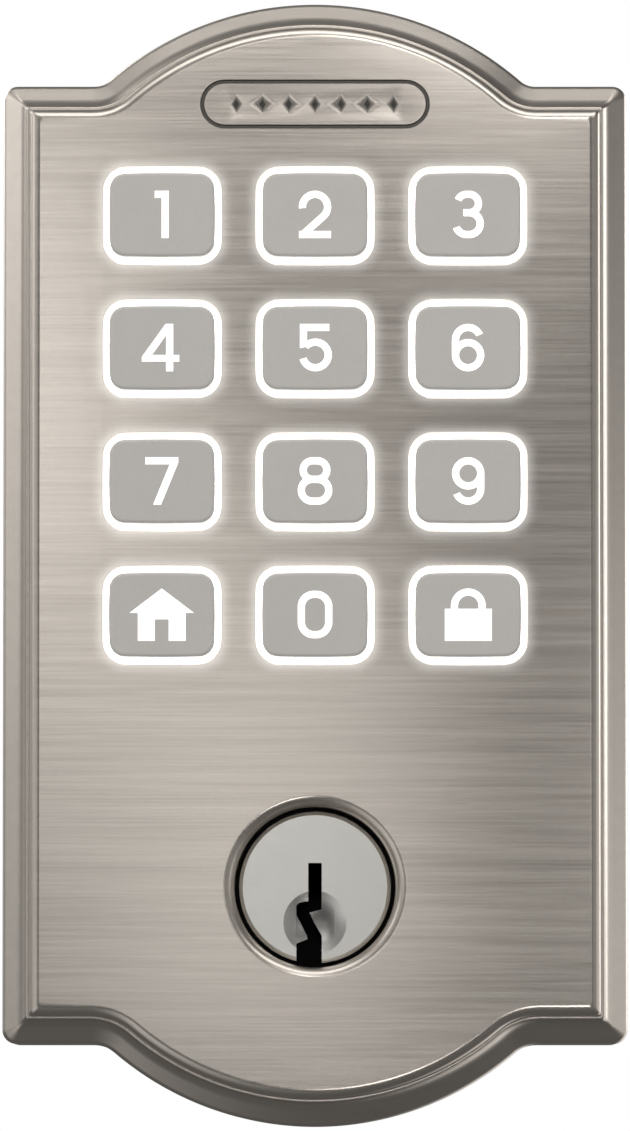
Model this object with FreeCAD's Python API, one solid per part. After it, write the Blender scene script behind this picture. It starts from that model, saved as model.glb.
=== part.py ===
import FreeCAD, Part
import math
import os

# Outside half of a keypad smart deadbolt lock.  Millimetres, +X to the right seen from outdoors,
# +Y into the door, +Z up.  The origin is on the cylinder's axis, on the outer face of the door.

# ---- Escutcheon: arched plate with a stepped and rolled border ----
plate_width = 76.2          # across the straight sides
plate_top = 98.2            # cylinder axis up to the top shoulder line
plate_bottom = 19.0         # cylinder axis down to the bottom shoulder line
plate_depth = 22.0          # door face to the front face
top_arch_rise = 10.1        # top tip above its shoulder line
bottom_arch_rise = 10.1
top_arch_radius = 38.3
bottom_arch_radius = 37.6
top_fillet = 2.8            # hollow corner between arch and shoulder
bottom_fillet = 4.5
shoulder_corner = 1.7
least_corner = 0.4          # corner radius left when the outline is set far in

roll_width = 1.8            # outer moulding: rounded edge, then a straight slope
roll_edge_round = 1.2
roll_slope = 38.0           # degrees between the slope and the face
roll_edge_depth = 5.4       # front face down to where the straight side wall starts
cove_width = 1.15           # hollow that turns the slope up towards the face
cove_slope = 77.0           # degrees between the hollow's steep end and the face
lip_radius = 0.2
ledge_width = 0.12
step_draft = 0.1            # the step up to the face leans in this much
face_edge_round = 1.3
roll_steps = 4
round_steps = 3

face_wall = 2.5
side_wall = 2.0
pocket_inset = 6.0          # the deep pocket behind the face, in from the outline
pocket_step_depth = 5.9     # front face down to where the pocket widens

# ---- Keypad ----
key_pitch_x = 18.6
key_pitch_z = 16.25
top_row_drop = 16.45        # top shoulder line down to the first row
key_width = 12.9
key_height = 10.25
key_corner = 1.9
key_side_crown = 70.0       # radius of the slightly bowed left and right sides
key_end_crown = 140.0
key_edge_round = 0.35
key_proud = 1.3             # key face in front of the escutcheon's face
key_travel = 0.9            # how far a key is pushed in
key_skin = 0.7              # wall of the opaque cap over the translucent body
key_skirt = 2.2             # cap's skirt behind the escutcheon's face
ring_wall_x = 0.58
ring_wall_z = 0.71
ring_corner = 2.8
ring_crown = 200.0
key_clearance = 0.12        # key to light ring, all round
ring_fit = 0.05             # light ring to its opening in the escutcheon
flange_overhang = 1.1       # key flange past the key's sides
flange_thickness = 0.8
flange_gap = 0.1            # key flange behind the light guide at rest
web_margin = 2.2            # light guide past the outer rings
guide_web = 1.4
mat_gap = 0.1               # key flange to the mat's plunger
mat_web = 0.6
plunger_squeezed = 1.6      # height left of the rubber plunger under a pressed key
plunger_radius = 2.4
plunger_foot = 3.6
plunger_slope = 1.0
dome_radius = 2.7
dome_rise = 0.35
dome_sheet = 0.1
dome_gap = 0.15

legend_stroke = 0.87
legend_height = 5.78
loop_flat = 0.02            # straight left between the two end arcs of a round-ended loop

# ---- Keypad electronics ----
board_thickness = 1.6
board_half_width = 29.0
board_above_rows = 12.85    # board edge above the top row's centre line
board_below_rows = 15.4     # board edge below the bottom row's centre line
tray_depth = 4.9
tray_wall = 1.2
tray_corner = 2.0
tray_inset = 0.4            # tray inside the board's edge
screw_column_wall = 1.1
led_width = 1.6
led_height = 0.8
led_thickness = 0.55
chip_thickness = 0.9
chips = [                   # column, row, offset up, width, height
    (1, 1, 0.0, 7.0, 7.0),
    (2, 1, 4.0, 5.0, 4.0),
    (0, 2, 1.0, 6.0, 5.0),
    (2, 2, -6.0, 4.0, 3.0),
    (1, 3, 0.0, 3.0, 3.0),
]
sounder_radius = 5.5
sounder_thickness = 2.4
sounder_hole = 1.0
socket_width = 14.0
socket_height = 4.2
socket_length = 5.7
socket_wall = 0.7
socket_edge = 1.1           # socket above the board's lower edge
socket_corner = 0.4
socket_floor = 1.2
socket_clearance = 0.2      # socket to the tray's window
contact_count = 8
contact_pitch = 1.5
contact_side = 0.5
contact_setback = 0.8       # contact tips inside the socket's mouth

# ---- Fasteners ----
board_screw_radius = 1.0
board_screw_head = 2.0
board_screw_head_height = 1.4
board_screw_bite = 3.6      # thread depth in the escutcheon's boss
board_screw_x = 24.0
board_screw_margin = 2.3    # screw centre from the light guide's edge
boss_wall = 1.3
plate_screw_radius = 1.5
plate_screw_head = 2.9
plate_screw_bite = 6.5      # depth of the threaded hole
plate_screw_tip_gap = 0.5
plate_screw_edge = 6.1      # screw centre in from the side
plate_screw_shoulder = 6.2  # screw centre in from the shoulder line
plate_boss_radius = 3.0
recess_across = 1.6         # cross recess in the screw heads
recess_arm = 0.5
recess_depth = 0.8

# ---- Back plate, gasket and through-bolt posts ----
gasket_thickness = 1.2
gasket_inset = 0.8
gasket_band = 6.2
back_plate_thickness = 2.0
back_plate_clearance = 0.2
spigot_radius = 26.7        # for the standard 54 mm door bore
spigot_wall = 2.0
spigot_length = 6.0
spigot_relief = 0.6         # groove at the spigot's root, past the door face, clear of the bore's edge
spigot_relief_depth = 0.7
gasket_bore_clearance = 0.3
bolt_spacing = 38.0
post_radius = 4.0
post_reach = 11.5           # past the door face
post_thread_radius = 2.1
post_thread_depth = 14.0
post_seat_depth = 4.6
post_boss_wall = 1.6
post_boss_floor = 2.0       # metal left in front of the post's seat
post_clearance = 0.3
port_margin_x = 2.0         # harness port past the socket
port_margin_z = 0.9

# ---- Lock cylinder ----
plug_face_recess = 2.8      # plug face behind the escutcheon's face
plug_head_radius = 9.24
plug_head_thickness = 2.5
plug_head_chamfer = 0.45
plug_radius = 6.35
plug_running_clearance = 0.03
head_gap = 0.1              # plug head in front of the housing
window_clearance = 0.55     # plug head to the escutcheon's window
window_flare = 1.4
window_flare_depth = 1.6
sleeve_wall = 2.3
sleeve_end = 10.0           # front face down to the sleeve's end
housing_ring_fit = 0.1
housing_ring_length = 4.2
housing_wall = 2.22
housing_reach = 9.6         # past the door face
bible_width = 7.5
bible_height = 8.65         # top of the pin tower above the plug
bible_start = 10.5          # bible's front end, behind the escutcheon's face
body_clearance = 0.4        # back plate round the housing
stack_count = 5
stack_pitch = 3.96
first_stack = 13.0          # first pin stack behind the escutcheon's face
pin_radius = 1.45
plug_chamber_clearance = 0.03
housing_chamber_clearance = 0.05
chamber_floor = -1.6
shear_gap = 0.04
driver_length = 4.5
bottom_pin_lengths = [4.6, 5.8, 5.0, 6.2, 5.4]
pin_tip_length = 1.0
pin_tip_radius = 0.5
spring_wire = 0.18
spring_radius = 1.15
spring_turns = 6
spring_end_gap = 0.1
cover_thickness = 0.6
cover_inset = 0.6
drill_pin_radius = 1.0
drill_pin_length = 4.0
ear_x = 11.5
ear_z = -9.5
ear_radius = 3.2
ear_thickness = 3.0
ear_screw_head = 2.8
ear_screw_head_height = 1.8
neck_radius = 4.6
neck_length = 2.8
clip_radius = 6.0
clip_seat_radius = 3.9
clip_thickness = 0.8
clip_mouth = 5.0
clip_offset = 0.3
tail_disc_thickness = 1.0
tail_disc_clearance = 0.1
tail_width = 6.0
tail_thickness = 2.0
tail_reach = 56.0           # past the door face
tail_tip_chamfer = 1.2
cap_radius = 6.6
cap_end = 1.0
cap_start = 1.4             # cap's open end behind the barrel's end
cap_slot_clearance = 0.2
cap_grip = 8                # grip flutes round the cap
cap_flute_radius = 0.6
dimple_drop = 4.28          # thumb dimple's centre below the plug's axis
dimple_radius = 3.85
dimple_depth = 0.55
keyway_end = 0.8            # solid left at the barrel's rear end
keyway_slim = 0.82          # half widths of the blade slot and of its side wards
keyway_wide = 2.27
keyway_overrun = 0.2        # slot cut past the plug head's lower edge

# ---- Face ornament ----
ornament_width = 28.0
ornament_height = 6.0
ornament_groove = 0.5
ornament_depth = 0.3
ornament_drop = 2.8         # ornament's centre below the top shoulder line
diamond_count = 7
diamond_pitch = 3.2
diamond_width = 1.7
diamond_height = 2.8

# ---- Places along the depth, all worked out from the sizes above ----
face_y = -plate_depth
rim_y = -gasket_thickness
back_plate_y = rim_y - back_plate_thickness
pocket_y = face_y + face_wall
pocket_step_y = face_y + pocket_step_depth
guide_back_y = pocket_y + guide_web
flange_y = guide_back_y + flange_gap
flange_back_y = flange_y + flange_thickness
plunger_y = flange_back_y + mat_gap
board_y = plunger_y + key_travel + plunger_squeezed + mat_web
board_back_y = board_y + board_thickness
tray_back_y = board_back_y + tray_depth
key_y = face_y - key_proud
skirt_y = face_y + key_skirt
spigot_end = spigot_relief + spigot_length
cylinder_window_radius = plug_head_radius + window_clearance
housing_bore_radius = plug_radius + plug_running_clearance
housing_radius = housing_bore_radius + housing_wall
bible_top = plug_radius + bible_height
post_boss_y = pocket_y + post_boss_floor + post_seat_depth
plug_face_y = face_y + plug_face_recess
plug_head_back_y = plug_face_y + plug_head_thickness
housing_y = plug_head_back_y + head_gap
plug_back_y = housing_reach
neck_back_y = plug_back_y + neck_length
tail_disc_back_y = neck_back_y + tail_disc_thickness
cap_back_y = tail_disc_back_y + cap_end
stack_y = [face_y + first_stack + i * stack_pitch for i in range(stack_count)]

key_columns = [-key_pitch_x, 0.0, key_pitch_x]
key_names = [["1", "2", "3"], ["4", "5", "6"], ["7", "8", "9"], ["home", "0", "lock"]]
key_rows = [plate_top - top_row_drop - i * key_pitch_z for i in range(len(key_names))]
ring_width = key_width + 2 * (key_clearance + ring_wall_x)
ring_height = key_height + 2 * (key_clearance + ring_wall_z)
web_width = 2 * key_pitch_x + ring_width + 2 * web_margin
web_top = key_rows[0] + ring_height / 2 + web_margin
web_bottom = key_rows[-1] - ring_height / 2 - web_margin
board_top = key_rows[0] + board_above_rows
board_bottom = key_rows[-1] - board_below_rows
board_screw_rows = [web_top + board_screw_margin, web_bottom - board_screw_margin]
board_screw_places = [(x, z) for x in (-board_screw_x, board_screw_x) for z in board_screw_rows]
plate_screw_x = plate_width / 2 - plate_screw_edge
plate_screw_rows = [plate_top - plate_screw_shoulder, -plate_bottom + plate_screw_shoulder]
plate_screw_places = [(x, z) for x in (-plate_screw_x, plate_screw_x) for z in plate_screw_rows]
post_places = [(-bolt_spacing / 2, 0.0), (bolt_spacing / 2, 0.0)]
ear_places = [(-ear_x, ear_z), (ear_x, ear_z)]
socket_z = board_bottom + socket_edge + socket_height / 2


# ---- Shapes that every piece is made from ----
def vec(x, y, z):
    return FreeCAD.Vector(x, y, z)


def rod(radius, front, back, x=0.0, z=0.0):
    return Part.makeCylinder(radius, back - front, vec(x, front, z), vec(0, 1, 0))


def taper(front_radius, back_radius, front, back, x=0.0, z=0.0):
    return Part.makeCone(front_radius, back_radius, back - front, vec(x, front, z), vec(0, 1, 0))


def tube(outer, inner, front, back, x=0.0, z=0.0):
    return rod(outer, front, back, x, z).cut(rod(inner, front, back, x, z))


def block(x_low, x_high, front, back, z_low, z_high):
    return Part.makeBox(x_high - x_low, back - front, z_high - z_low, vec(x_low, front, z_low))


def upright(radius, z_low, z_high, y, x=0.0):
    return Part.makeCylinder(radius, z_high - z_low, vec(x, y, z_low), vec(0, 0, 1))


def closed_wire(path, y):
    # A path is a list of (end point, middle point of its arc or None) and starts at its last end.
    edges = []
    here = path[-1][0]
    for end, middle in path:
        first = vec(here[0], y, here[1])
        last = vec(end[0], y, end[1])
        if middle is None:
            edges.append(Part.makeLine(first, last))
        else:
            edges.append(Part.Arc(first, vec(middle[0], y, middle[1]), last).toShape())
        here = end
    return Part.Wire(edges)


def prism(wires, back):
    face = Part.Face(wires)
    return face.extrude(vec(0, back - face.BoundBox.YMin, 0))


def joined(shapes):
    whole = shapes[0]
    if len(shapes) > 1:
        whole = whole.fuse(shapes[1:]).removeSplitter()
    return whole


def rounded_wire(width, height, corner, y, x=0.0, z=0.0):
    bend = corner * (1 - math.sqrt(0.5))
    path = []
    for side, end in ((1, 1), (1, -1), (-1, -1), (-1, 1)):
        over = (x + side * (width / 2 - corner), z + end * height / 2)
        down = (x + side * width / 2, z + end * (height / 2 - corner))
        middle = (x + side * (width / 2 - bend), z + end * (height / 2 - bend))
        first, last = (over, down) if side == end else (down, over)
        path += [(first, None), (last, middle)]
    return closed_wire(path, y)


def rounded_block(width, height, corner, front, back, x=0.0, z=0.0):
    return prism(rounded_wire(width, height, corner, front, x, z), back)


def crowned_wire(width, height, corner, side_crown, end_crown, inset, y, x, z):
    # Rounded rectangle whose four sides bow outwards; every arc runs smoothly into the next.
    side_centre = width / 2 - side_crown
    end_centre = height / 2 - end_crown
    side_reach = side_crown - corner
    end_reach = end_crown - corner
    apart = math.hypot(side_centre, end_centre)
    along = (side_reach ** 2 - end_reach ** 2 + apart ** 2) / (2 * apart)
    across = math.sqrt(side_reach ** 2 - along ** 2)
    ux = -side_centre / apart
    uz = end_centre / apart
    corner_x = side_centre + along * ux - across * uz
    corner_z = along * uz + across * ux
    radius = corner - inset
    to_side = math.atan2(corner_z, corner_x - side_centre)
    to_end = math.atan2(corner_z - end_centre, corner_x)
    between = (to_side + to_end) / 2
    spots = [(corner_x + radius * math.cos(a), corner_z + radius * math.sin(a))
             for a in (to_end, between, to_side)]
    path = []
    for side, end in ((1, 1), (1, -1), (-1, -1), (-1, 1)):
        over, middle, down = [(x + side * px, z + end * pz) for px, pz in spots]
        if side == end:
            path += [(over, (x, z + end * (height / 2 - inset))), (down, middle)]
        else:
            path += [(down, (x + side * (width / 2 - inset), z)), (over, middle)]
    return closed_wire(path, y)


def half_plate(inset, up):
    # Right half of one end of the plate outline, from the tip to the side wall.
    shoulder, rise, arch, fillet = {
        1: (plate_top, top_arch_rise, top_arch_radius, top_fillet),
        -1: (plate_bottom, bottom_arch_rise, bottom_arch_radius, bottom_fillet),
    }[up]
    corner = max(shoulder_corner - inset, least_corner)
    half = plate_width / 2 - inset
    arch_z = shoulder + rise - arch
    fillet_z = shoulder + fillet
    fillet_x = math.sqrt((arch + fillet) ** 2 - (fillet_z - arch_z) ** 2)
    lean = math.atan2(fillet_x, fillet_z - arch_z)
    reach = arch - inset
    hollow = fillet + inset
    turn = lean / 2
    bend = corner * (1 - math.sqrt(0.5))
    line_z = shoulder - inset
    points = [
        ((reach * math.sin(lean), arch_z + reach * math.cos(lean)),
         (reach * math.sin(turn), arch_z + reach * math.cos(turn))),
        ((fillet_x, line_z),
         (fillet_x - hollow * math.sin(turn), fillet_z - hollow * math.cos(turn))),
        ((half - corner, line_z), None),
        ((half, line_z - corner), (half - bend, line_z - bend)),
    ]
    turned = [((end[0], up * end[1]), middle and (middle[0], up * middle[1])) for end, middle in points]
    return (0.0, up * (arch_z + reach)), turned


def walk_back(start, path, flip):
    # The same path from its end to its start; a flip of -1 mirrors it left to right.
    stops = [start] + [end for end, _ in path]
    back = []
    for i in range(len(path) - 1, -1, -1):
        middle = path[i][1]
        back.append(((flip * stops[i][0], stops[i][1]), middle and (flip * middle[0], middle[1])))
    return back


def plate_wire(inset, y):
    top_tip, top = half_plate(inset, 1)
    bottom_tip, bottom = half_plate(inset, -1)
    down_right = top + [(bottom[-1][0], None)] + walk_back(bottom_tip, bottom, 1)
    return closed_wire(down_right + walk_back(top_tip, down_right, -1), y)


def plate_slab(inset, front, back):
    return prism(plate_wire(inset, front), back)


def quarter(steps):
    return [math.radians(90.0 * i / steps) for i in range(1, steps + 1)]


def border_profile():
    # (inset, depth behind the front face) from the side wall up to the face.
    slope, steep = math.radians(roll_slope), math.radians(cove_slope)
    points = [(0.0, roll_edge_depth)]
    for i in range(1, roll_steps + 1):
        a = (math.pi / 2 - slope) * i / roll_steps
        points.append((roll_edge_round * (1 - math.cos(a)), roll_edge_depth - roll_edge_round * math.sin(a)))
    slope_end = points[-1][1] - (roll_width - points[-1][0]) * math.tan(slope)
    cove_radius = cove_width / (math.sin(steep) - math.sin(slope))
    for i in range(roll_steps + 1):
        a = slope + (steep - slope) * i / roll_steps
        points.append((roll_width + cove_radius * (math.sin(a) - math.sin(slope)),
                       slope_end - cove_radius * (math.cos(slope) - math.cos(a))))
    lip_x = points[-1][0] + lip_radius
    lip_z = points[-1][1] - lip_radius
    points.append((lip_x, lip_z))
    points.append((lip_x + ledge_width, lip_z))
    step_x = lip_x + ledge_width + step_draft
    points.append((step_x, face_edge_round))
    for a in quarter(round_steps):
        points.append((step_x + face_edge_round * (1 - math.cos(a)),
                       face_edge_round * (1 - math.sin(a))))
    return points


# ---- Legends: strokes of one width drawn in a key's own middle, then given depth ----
def outline(points):
    return Part.Face(closed_wire([(p, None) for p in points], 0.0))


def bar(start, end):
    length = math.hypot(end[0] - start[0], end[1] - start[1])
    side_x = -(end[1] - start[1]) / length * legend_stroke / 2
    side_z = (end[0] - start[0]) / length * legend_stroke / 2
    return outline([(start[0] + side_x, start[1] + side_z), (end[0] + side_x, end[1] + side_z),
                    (end[0] - side_x, end[1] - side_z), (start[0] - side_x, start[1] - side_z)])


def bow(x, z, radius, start, end):
    # Arc of stroke from one angle to another, in degrees anticlockwise from the right.
    def spot(reach, degrees):
        angle = math.radians(degrees)
        return (x + reach * math.cos(angle), z + reach * math.sin(angle))

    outer = radius + legend_stroke / 2
    inner = radius - legend_stroke / 2
    middle = (start + end) / 2
    return Part.Face(closed_wire([(spot(outer, start), None), (spot(outer, end), spot(outer, middle)),
                                  (spot(inner, end), None), (spot(inner, start), spot(inner, middle))],
                                 0.0))


def closed_band(width, height, corner, band, y, x, z):
    outer = Part.Face(rounded_wire(width, height, corner, y, x, z))
    return outer.cut(Part.Face(rounded_wire(width - 2 * band, height - 2 * band, corner - band, y, x, z)))


def loop(x, z, width, height, corner):
    return closed_band(width, height, corner, legend_stroke, 0.0, x, z)


def stadium(x, z, width, height):
    return loop(x, z, width, height, (height - loop_flat) / 2)


tall = legend_height / 2
line = tall - legend_stroke / 2          # centre line of a stroke along the top or bottom
bowl = 1.53                              # centre-line radius of the round digits


def digit_one():
    return [bar((0.37, -tall), (0.37, tall)), bar((-0.9, line), (0.37, line))]


def digit_two():
    centre = line - bowl
    leave = math.radians(-48.0)
    start = (bowl * math.cos(leave), centre + bowl * math.sin(leave))
    drop = start[1] + line
    foot = (start[0] + drop * math.sin(leave) / math.cos(leave), -line)
    return [bow(0.0, centre, bowl, -48.0, 186.0), bar(start, foot), bar((-1.95, -line), (1.95, -line))]


def digit_three():
    upper = 1.12
    lower = line - upper
    waist = line - 2 * upper
    return [bow(-0.16, line - upper, upper, 90.0, 158.0), bar((-0.16, line), (0.16, line)),
            bow(0.16, line - upper, upper, -90.0, 90.0), bar((-0.55, waist), (0.16, waist)),
            bow(0.16, waist - lower, lower, -90.0, 90.0), bar((-0.16, -line), (0.16, -line)),
            bow(-0.16, waist - lower, lower, 200.0, 270.0)]


def digit_four():
    stem_left = 0.5
    stem_right = stem_left + legend_stroke
    bar_top = -0.9
    bar_bottom = bar_top - 0.8
    outer = outline([(stem_left - 0.05, tall), (stem_right, tall), (stem_right, bar_top), (2.1, bar_top),
                     (2.1, bar_bottom), (stem_right, bar_bottom), (stem_right, -tall),
                     (stem_left, -tall), (stem_left, bar_bottom), (-2.45, bar_bottom), (-2.45, -1.15)])
    return [outer.cut(outline([(stem_left, 1.53), (stem_left, bar_top), (-1.21, bar_top)]))]


def digit_five():
    left = -1.84
    centre = bowl + 0.03 - line
    return [bar((left, line), (1.74, line)),
            outline([(left, tall), (left, -0.08), (left + legend_stroke, 0.12),
                     (left + legend_stroke, tall)]),
            bow(0.05, centre, bowl + 0.03, -164.0, 140.0)]


def digit_six():
    return [bow(0.0, line - bowl, bowl, 24.0, 180.0), bar((-bowl, line - bowl), (-bowl, bowl - line)),
            bow(0.0, bowl - line, bowl, 0.0, 180.0), bow(0.0, bowl - line, bowl, 180.0, 360.0)]


def digit_seven():
    return [outline([(-2.0, tall), (2.0, tall), (2.0, 2.25), (-0.1, -tall), (-1.05, -tall),
                     (0.95, tall - legend_stroke), (-2.0, tall - legend_stroke)])]


def digit_eight():
    upper = 2 * 1.13
    lower = 2 * line - upper
    return [stadium(0.0, line - upper / 2, 3.74, upper + legend_stroke),
            stadium(0.0, lower / 2 - line, 4.2, lower + legend_stroke)]


def digit_nine():
    turned = [shape.copy() for shape in digit_six()]
    for shape in turned:
        shape.rotate(vec(0, 0, 0), vec(0, 1, 0), 180)
    return turned


def digit_zero():
    return [loop(0.0, 0.0, 4.2, legend_height, 1.95)]


def sign_home():
    eave, wall, door = 3.9, 2.9, 0.85
    base, eave_z, door_z, ridge = -3.2, 0.2, -0.58, 3.16
    return [outline([(0.0, ridge), (eave, eave_z), (wall, eave_z), (wall, base), (door, base),
                     (door, door_z), (-door, door_z), (-door, base), (-wall, base), (-wall, eave_z),
                     (-eave, eave_z)])]


def sign_lock():
    half, top, base, shackle = 2.85, 0.7, -3.2, 1.68
    spring_z = 1.05
    return [outline([(-half, top), (half, top), (half, base), (-half, base)]),
            bow(0.0, spring_z, shackle, 0.0, 180.0),
            bar((-shackle, top - 0.3), (-shackle, spring_z)), bar((shackle, top - 0.3), (shackle, spring_z))]


legend_drawings = {
    "1": digit_one, "2": digit_two, "3": digit_three, "4": digit_four, "5": digit_five,
    "6": digit_six, "7": digit_seven, "8": digit_eight, "9": digit_nine, "0": digit_zero,
    "home": sign_home, "lock": sign_lock,
}


def legend(name, front, back, x, z):
    strokes = [face.extrude(vec(0, back - front, 0)) for face in legend_drawings[name]()]
    whole = joined(strokes)
    whole.translate(vec(x, front, z))
    return whole


# ---- Escutcheon ----
def key_wire(inset, y, x, z):
    return crowned_wire(key_width, key_height, key_corner, key_side_crown, key_end_crown, inset, y, x, z)


def ring_wire(outset, y, x, z):
    return crowned_wire(ring_width, ring_height, ring_corner, ring_crown, ring_crown, -outset, y, x, z)


def key_places():
    for row, names in zip(key_rows, key_names):
        for column, name in zip(key_columns, names):
            yield name, column, row


def make_escutcheon():
    sections = [plate_wire(0.0, rim_y)]
    for inset, depth in border_profile():
        sections.append(plate_wire(inset, face_y + depth))
    shell = Part.makeLoft(sections, True, True)
    shell = shell.cut(plate_slab(pocket_inset, pocket_y, pocket_step_y))
    shell = shell.cut(plate_slab(side_wall, pocket_step_y, rim_y))
    posts = [rod(boss_wall + board_screw_radius, pocket_y, board_y, x, z) for x, z in board_screw_places]
    posts += [rod(plate_boss_radius, pocket_y, back_plate_y, x, z) for x, z in plate_screw_places]
    posts += [rod(post_radius + post_boss_wall, pocket_y, post_boss_y, x, z) for x, z in post_places]
    posts.append(rod(cylinder_window_radius + sleeve_wall, pocket_y, face_y + sleeve_end))
    shell = joined([shell] + posts)
    cuts = [prism(ring_wire(ring_fit, face_y, x, z), pocket_y) for _, x, z in key_places()]
    cuts += [rod(board_screw_radius, board_y - board_screw_bite, board_y, x, z)
             for x, z in board_screw_places]
    cuts += [rod(plate_screw_radius, back_plate_y - plate_screw_bite, back_plate_y, x, z)
             for x, z in plate_screw_places]
    cuts += [rod(post_radius, post_boss_y - post_seat_depth, post_boss_y, x, z)
             for x, z in post_places]
    cuts.append(rod(cylinder_window_radius, face_y, face_y + sleeve_end))
    cuts.append(taper(cylinder_window_radius + window_flare, cylinder_window_radius,
                      face_y, face_y + window_flare_depth))
    cuts += ornament_cuts()
    return shell.cut(cuts)


def ornament_cuts():
    z = plate_top - ornament_drop
    groove = closed_band(ornament_width, ornament_height, ornament_height / 2 - loop_flat,
                         ornament_groove, face_y, 0.0, z)
    cuts = [groove.extrude(vec(0, ornament_depth, 0))]
    for i in range(diamond_count):
        x = (i - (diamond_count - 1) / 2) * diamond_pitch
        diamond = outline([(x, z + diamond_height / 2), (x + diamond_width / 2, z),
                           (x, z - diamond_height / 2), (x - diamond_width / 2, z)])
        solid = diamond.extrude(vec(0, ornament_depth, 0))
        solid.translate(vec(0, face_y, 0))
        cuts.append(solid)
    return cuts


# ---- Keypad pieces ----
def make_light_guide():
    middle_z = (web_top + web_bottom) / 2
    web = rounded_block(web_width, web_top - web_bottom, ring_corner, pocket_y, guide_back_y, 0.0, middle_z)
    rings = [prism(ring_wire(0.0, face_y, x, z), pocket_y) for _, x, z in key_places()]
    holes = [prism(key_wire(-key_clearance, face_y, x, z), guide_back_y) for _, x, z in key_places()]
    return joined([web] + rings).cut(holes)


def make_key_cap(name, x, z):
    side = key_edge_round
    sections = [key_wire(side, key_y, x, z)]
    for a in quarter(round_steps):
        sections.append(key_wire(side * (1 - math.sin(a)), key_y + side * (1 - math.cos(a)), x, z))
    sections.append(key_wire(0.0, skirt_y, x, z))
    cap = Part.makeLoft(sections, True, True)
    cap = cap.cut(prism(key_wire(key_skin, key_y + key_skin, x, z), skirt_y))
    return cap.cut(legend(name, key_y, key_y + key_skin, x, z))


def make_key_lens(name, x, z):
    body = prism(key_wire(key_skin, key_y + key_skin, x, z), skirt_y)
    stem = prism(key_wire(0.0, skirt_y, x, z), flange_y)
    flange = rounded_block(key_width + 2 * flange_overhang, key_height + 2 * flange_overhang, key_corner,
                           flange_y, flange_back_y, x, z)
    return joined([body, stem, flange, legend(name, key_y, key_y + key_skin, x, z)])


def make_key_mat():
    middle_z = (web_top + web_bottom) / 2
    half = key_pitch_x + plunger_foot + web_margin
    mat = rounded_block(2 * half, web_top - web_bottom, ring_corner, board_y - mat_web, board_y,
                        0.0, middle_z)
    bumps = []
    pockets = []
    for _, x, z in key_places():
        slope_y = board_y - mat_web - plunger_slope
        bumps.append(taper(plunger_radius, plunger_foot, slope_y, board_y - mat_web, x, z))
        bumps.append(rod(plunger_radius, plunger_y, slope_y, x, z))
        pockets.append(rod(dome_radius + dome_gap, board_y - dome_rise - dome_gap, board_y, x, z))
    windows = [block(x - led_width / 2 - dome_gap, x + led_width / 2 + dome_gap, board_y - mat_web, board_y,
                     z - led_height / 2 - dome_gap, z + led_height / 2 + dome_gap)
               for x, z in led_places()]
    return joined([mat] + bumps).cut(pockets + windows)


def make_snap_domes():
    ball = (dome_radius ** 2 + dome_rise ** 2) / (2 * dome_rise)
    domes = []
    for _, x, z in key_places():
        centre = vec(x, board_y - dome_rise + ball, z)
        slab = rod(dome_radius, board_y - dome_rise, board_y, x, z)
        dome = slab.common(Part.makeSphere(ball, centre))
        domes.append(dome.cut(Part.makeSphere(ball - dome_sheet, centre)))
    return Part.makeCompound(domes)


def led_places():
    columns = [key_columns[0] - key_pitch_x / 2] + [x + key_pitch_x / 2 for x in key_columns]
    return [(x, z) for x in columns for z in key_rows]


def make_leds():
    return Part.makeCompound([block(x - led_width / 2, x + led_width / 2, board_y - led_thickness, board_y,
                                    z - led_height / 2, z + led_height / 2) for x, z in led_places()])


def make_board():
    board = block(-board_half_width, board_half_width, board_y, board_back_y, board_bottom, board_top)
    return board.cut([rod(board_screw_radius, board_y, board_back_y, x, z) for x, z in board_screw_places])


def make_chips():
    packages = []
    for column, row, up, width, height in chips:
        x = key_columns[column]
        z = key_rows[row] + up
        packages.append(block(x - width / 2, x + width / 2, board_back_y, board_back_y + chip_thickness,
                              z - height / 2, z + height / 2))
    return Part.makeCompound(packages)


def make_sounder():
    x = key_columns[0]
    z = key_rows[0]
    back = board_back_y + sounder_thickness
    case = rod(sounder_radius, board_back_y, back, x, z)
    return case.cut(rod(sounder_hole, back - sounder_thickness / 2, back, x, z))


def make_socket():
    back = board_back_y + socket_length
    body = rounded_block(socket_width, socket_height, socket_corner, board_back_y, back, 0.0, socket_z)
    return body.cut(block(-socket_width / 2 + socket_wall, socket_width / 2 - socket_wall,
                          board_back_y + socket_floor, back,
                          socket_z - socket_height / 2 + socket_wall,
                          socket_z + socket_height / 2 - socket_wall))


def make_contacts():
    contacts = []
    for i in range(contact_count):
        x = (i - (contact_count - 1) / 2) * contact_pitch
        contacts.append(block(x - contact_side / 2, x + contact_side / 2, board_back_y + socket_floor,
                              board_back_y + socket_length - contact_setback, socket_z - contact_side / 2,
                              socket_z + contact_side / 2))
    return Part.makeCompound(contacts)


def make_rear_cover():
    half = board_half_width - tray_inset
    low = board_bottom + tray_inset
    high = board_top - tray_inset
    middle_z = (low + high) / 2
    tray = rounded_block(2 * half, high - low, tray_corner, board_back_y, tray_back_y, 0.0, middle_z)
    tray = tray.cut(rounded_block(2 * (half - tray_wall), high - low - 2 * tray_wall,
                                  tray_corner - tray_wall, board_back_y, tray_back_y - tray_wall,
                                  0.0, middle_z))
    columns = [rod(board_screw_radius + screw_column_wall, board_back_y, tray_back_y, x, z)
               for x, z in board_screw_places]
    window = block(-socket_width / 2 - socket_clearance, socket_width / 2 + socket_clearance,
                   board_back_y, tray_back_y, low, socket_z + socket_height / 2 + socket_clearance)
    holes = [rod(board_screw_radius, board_back_y, tray_back_y, x, z) for x, z in board_screw_places]
    return joined([tray] + columns).cut(holes + [window])


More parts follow.
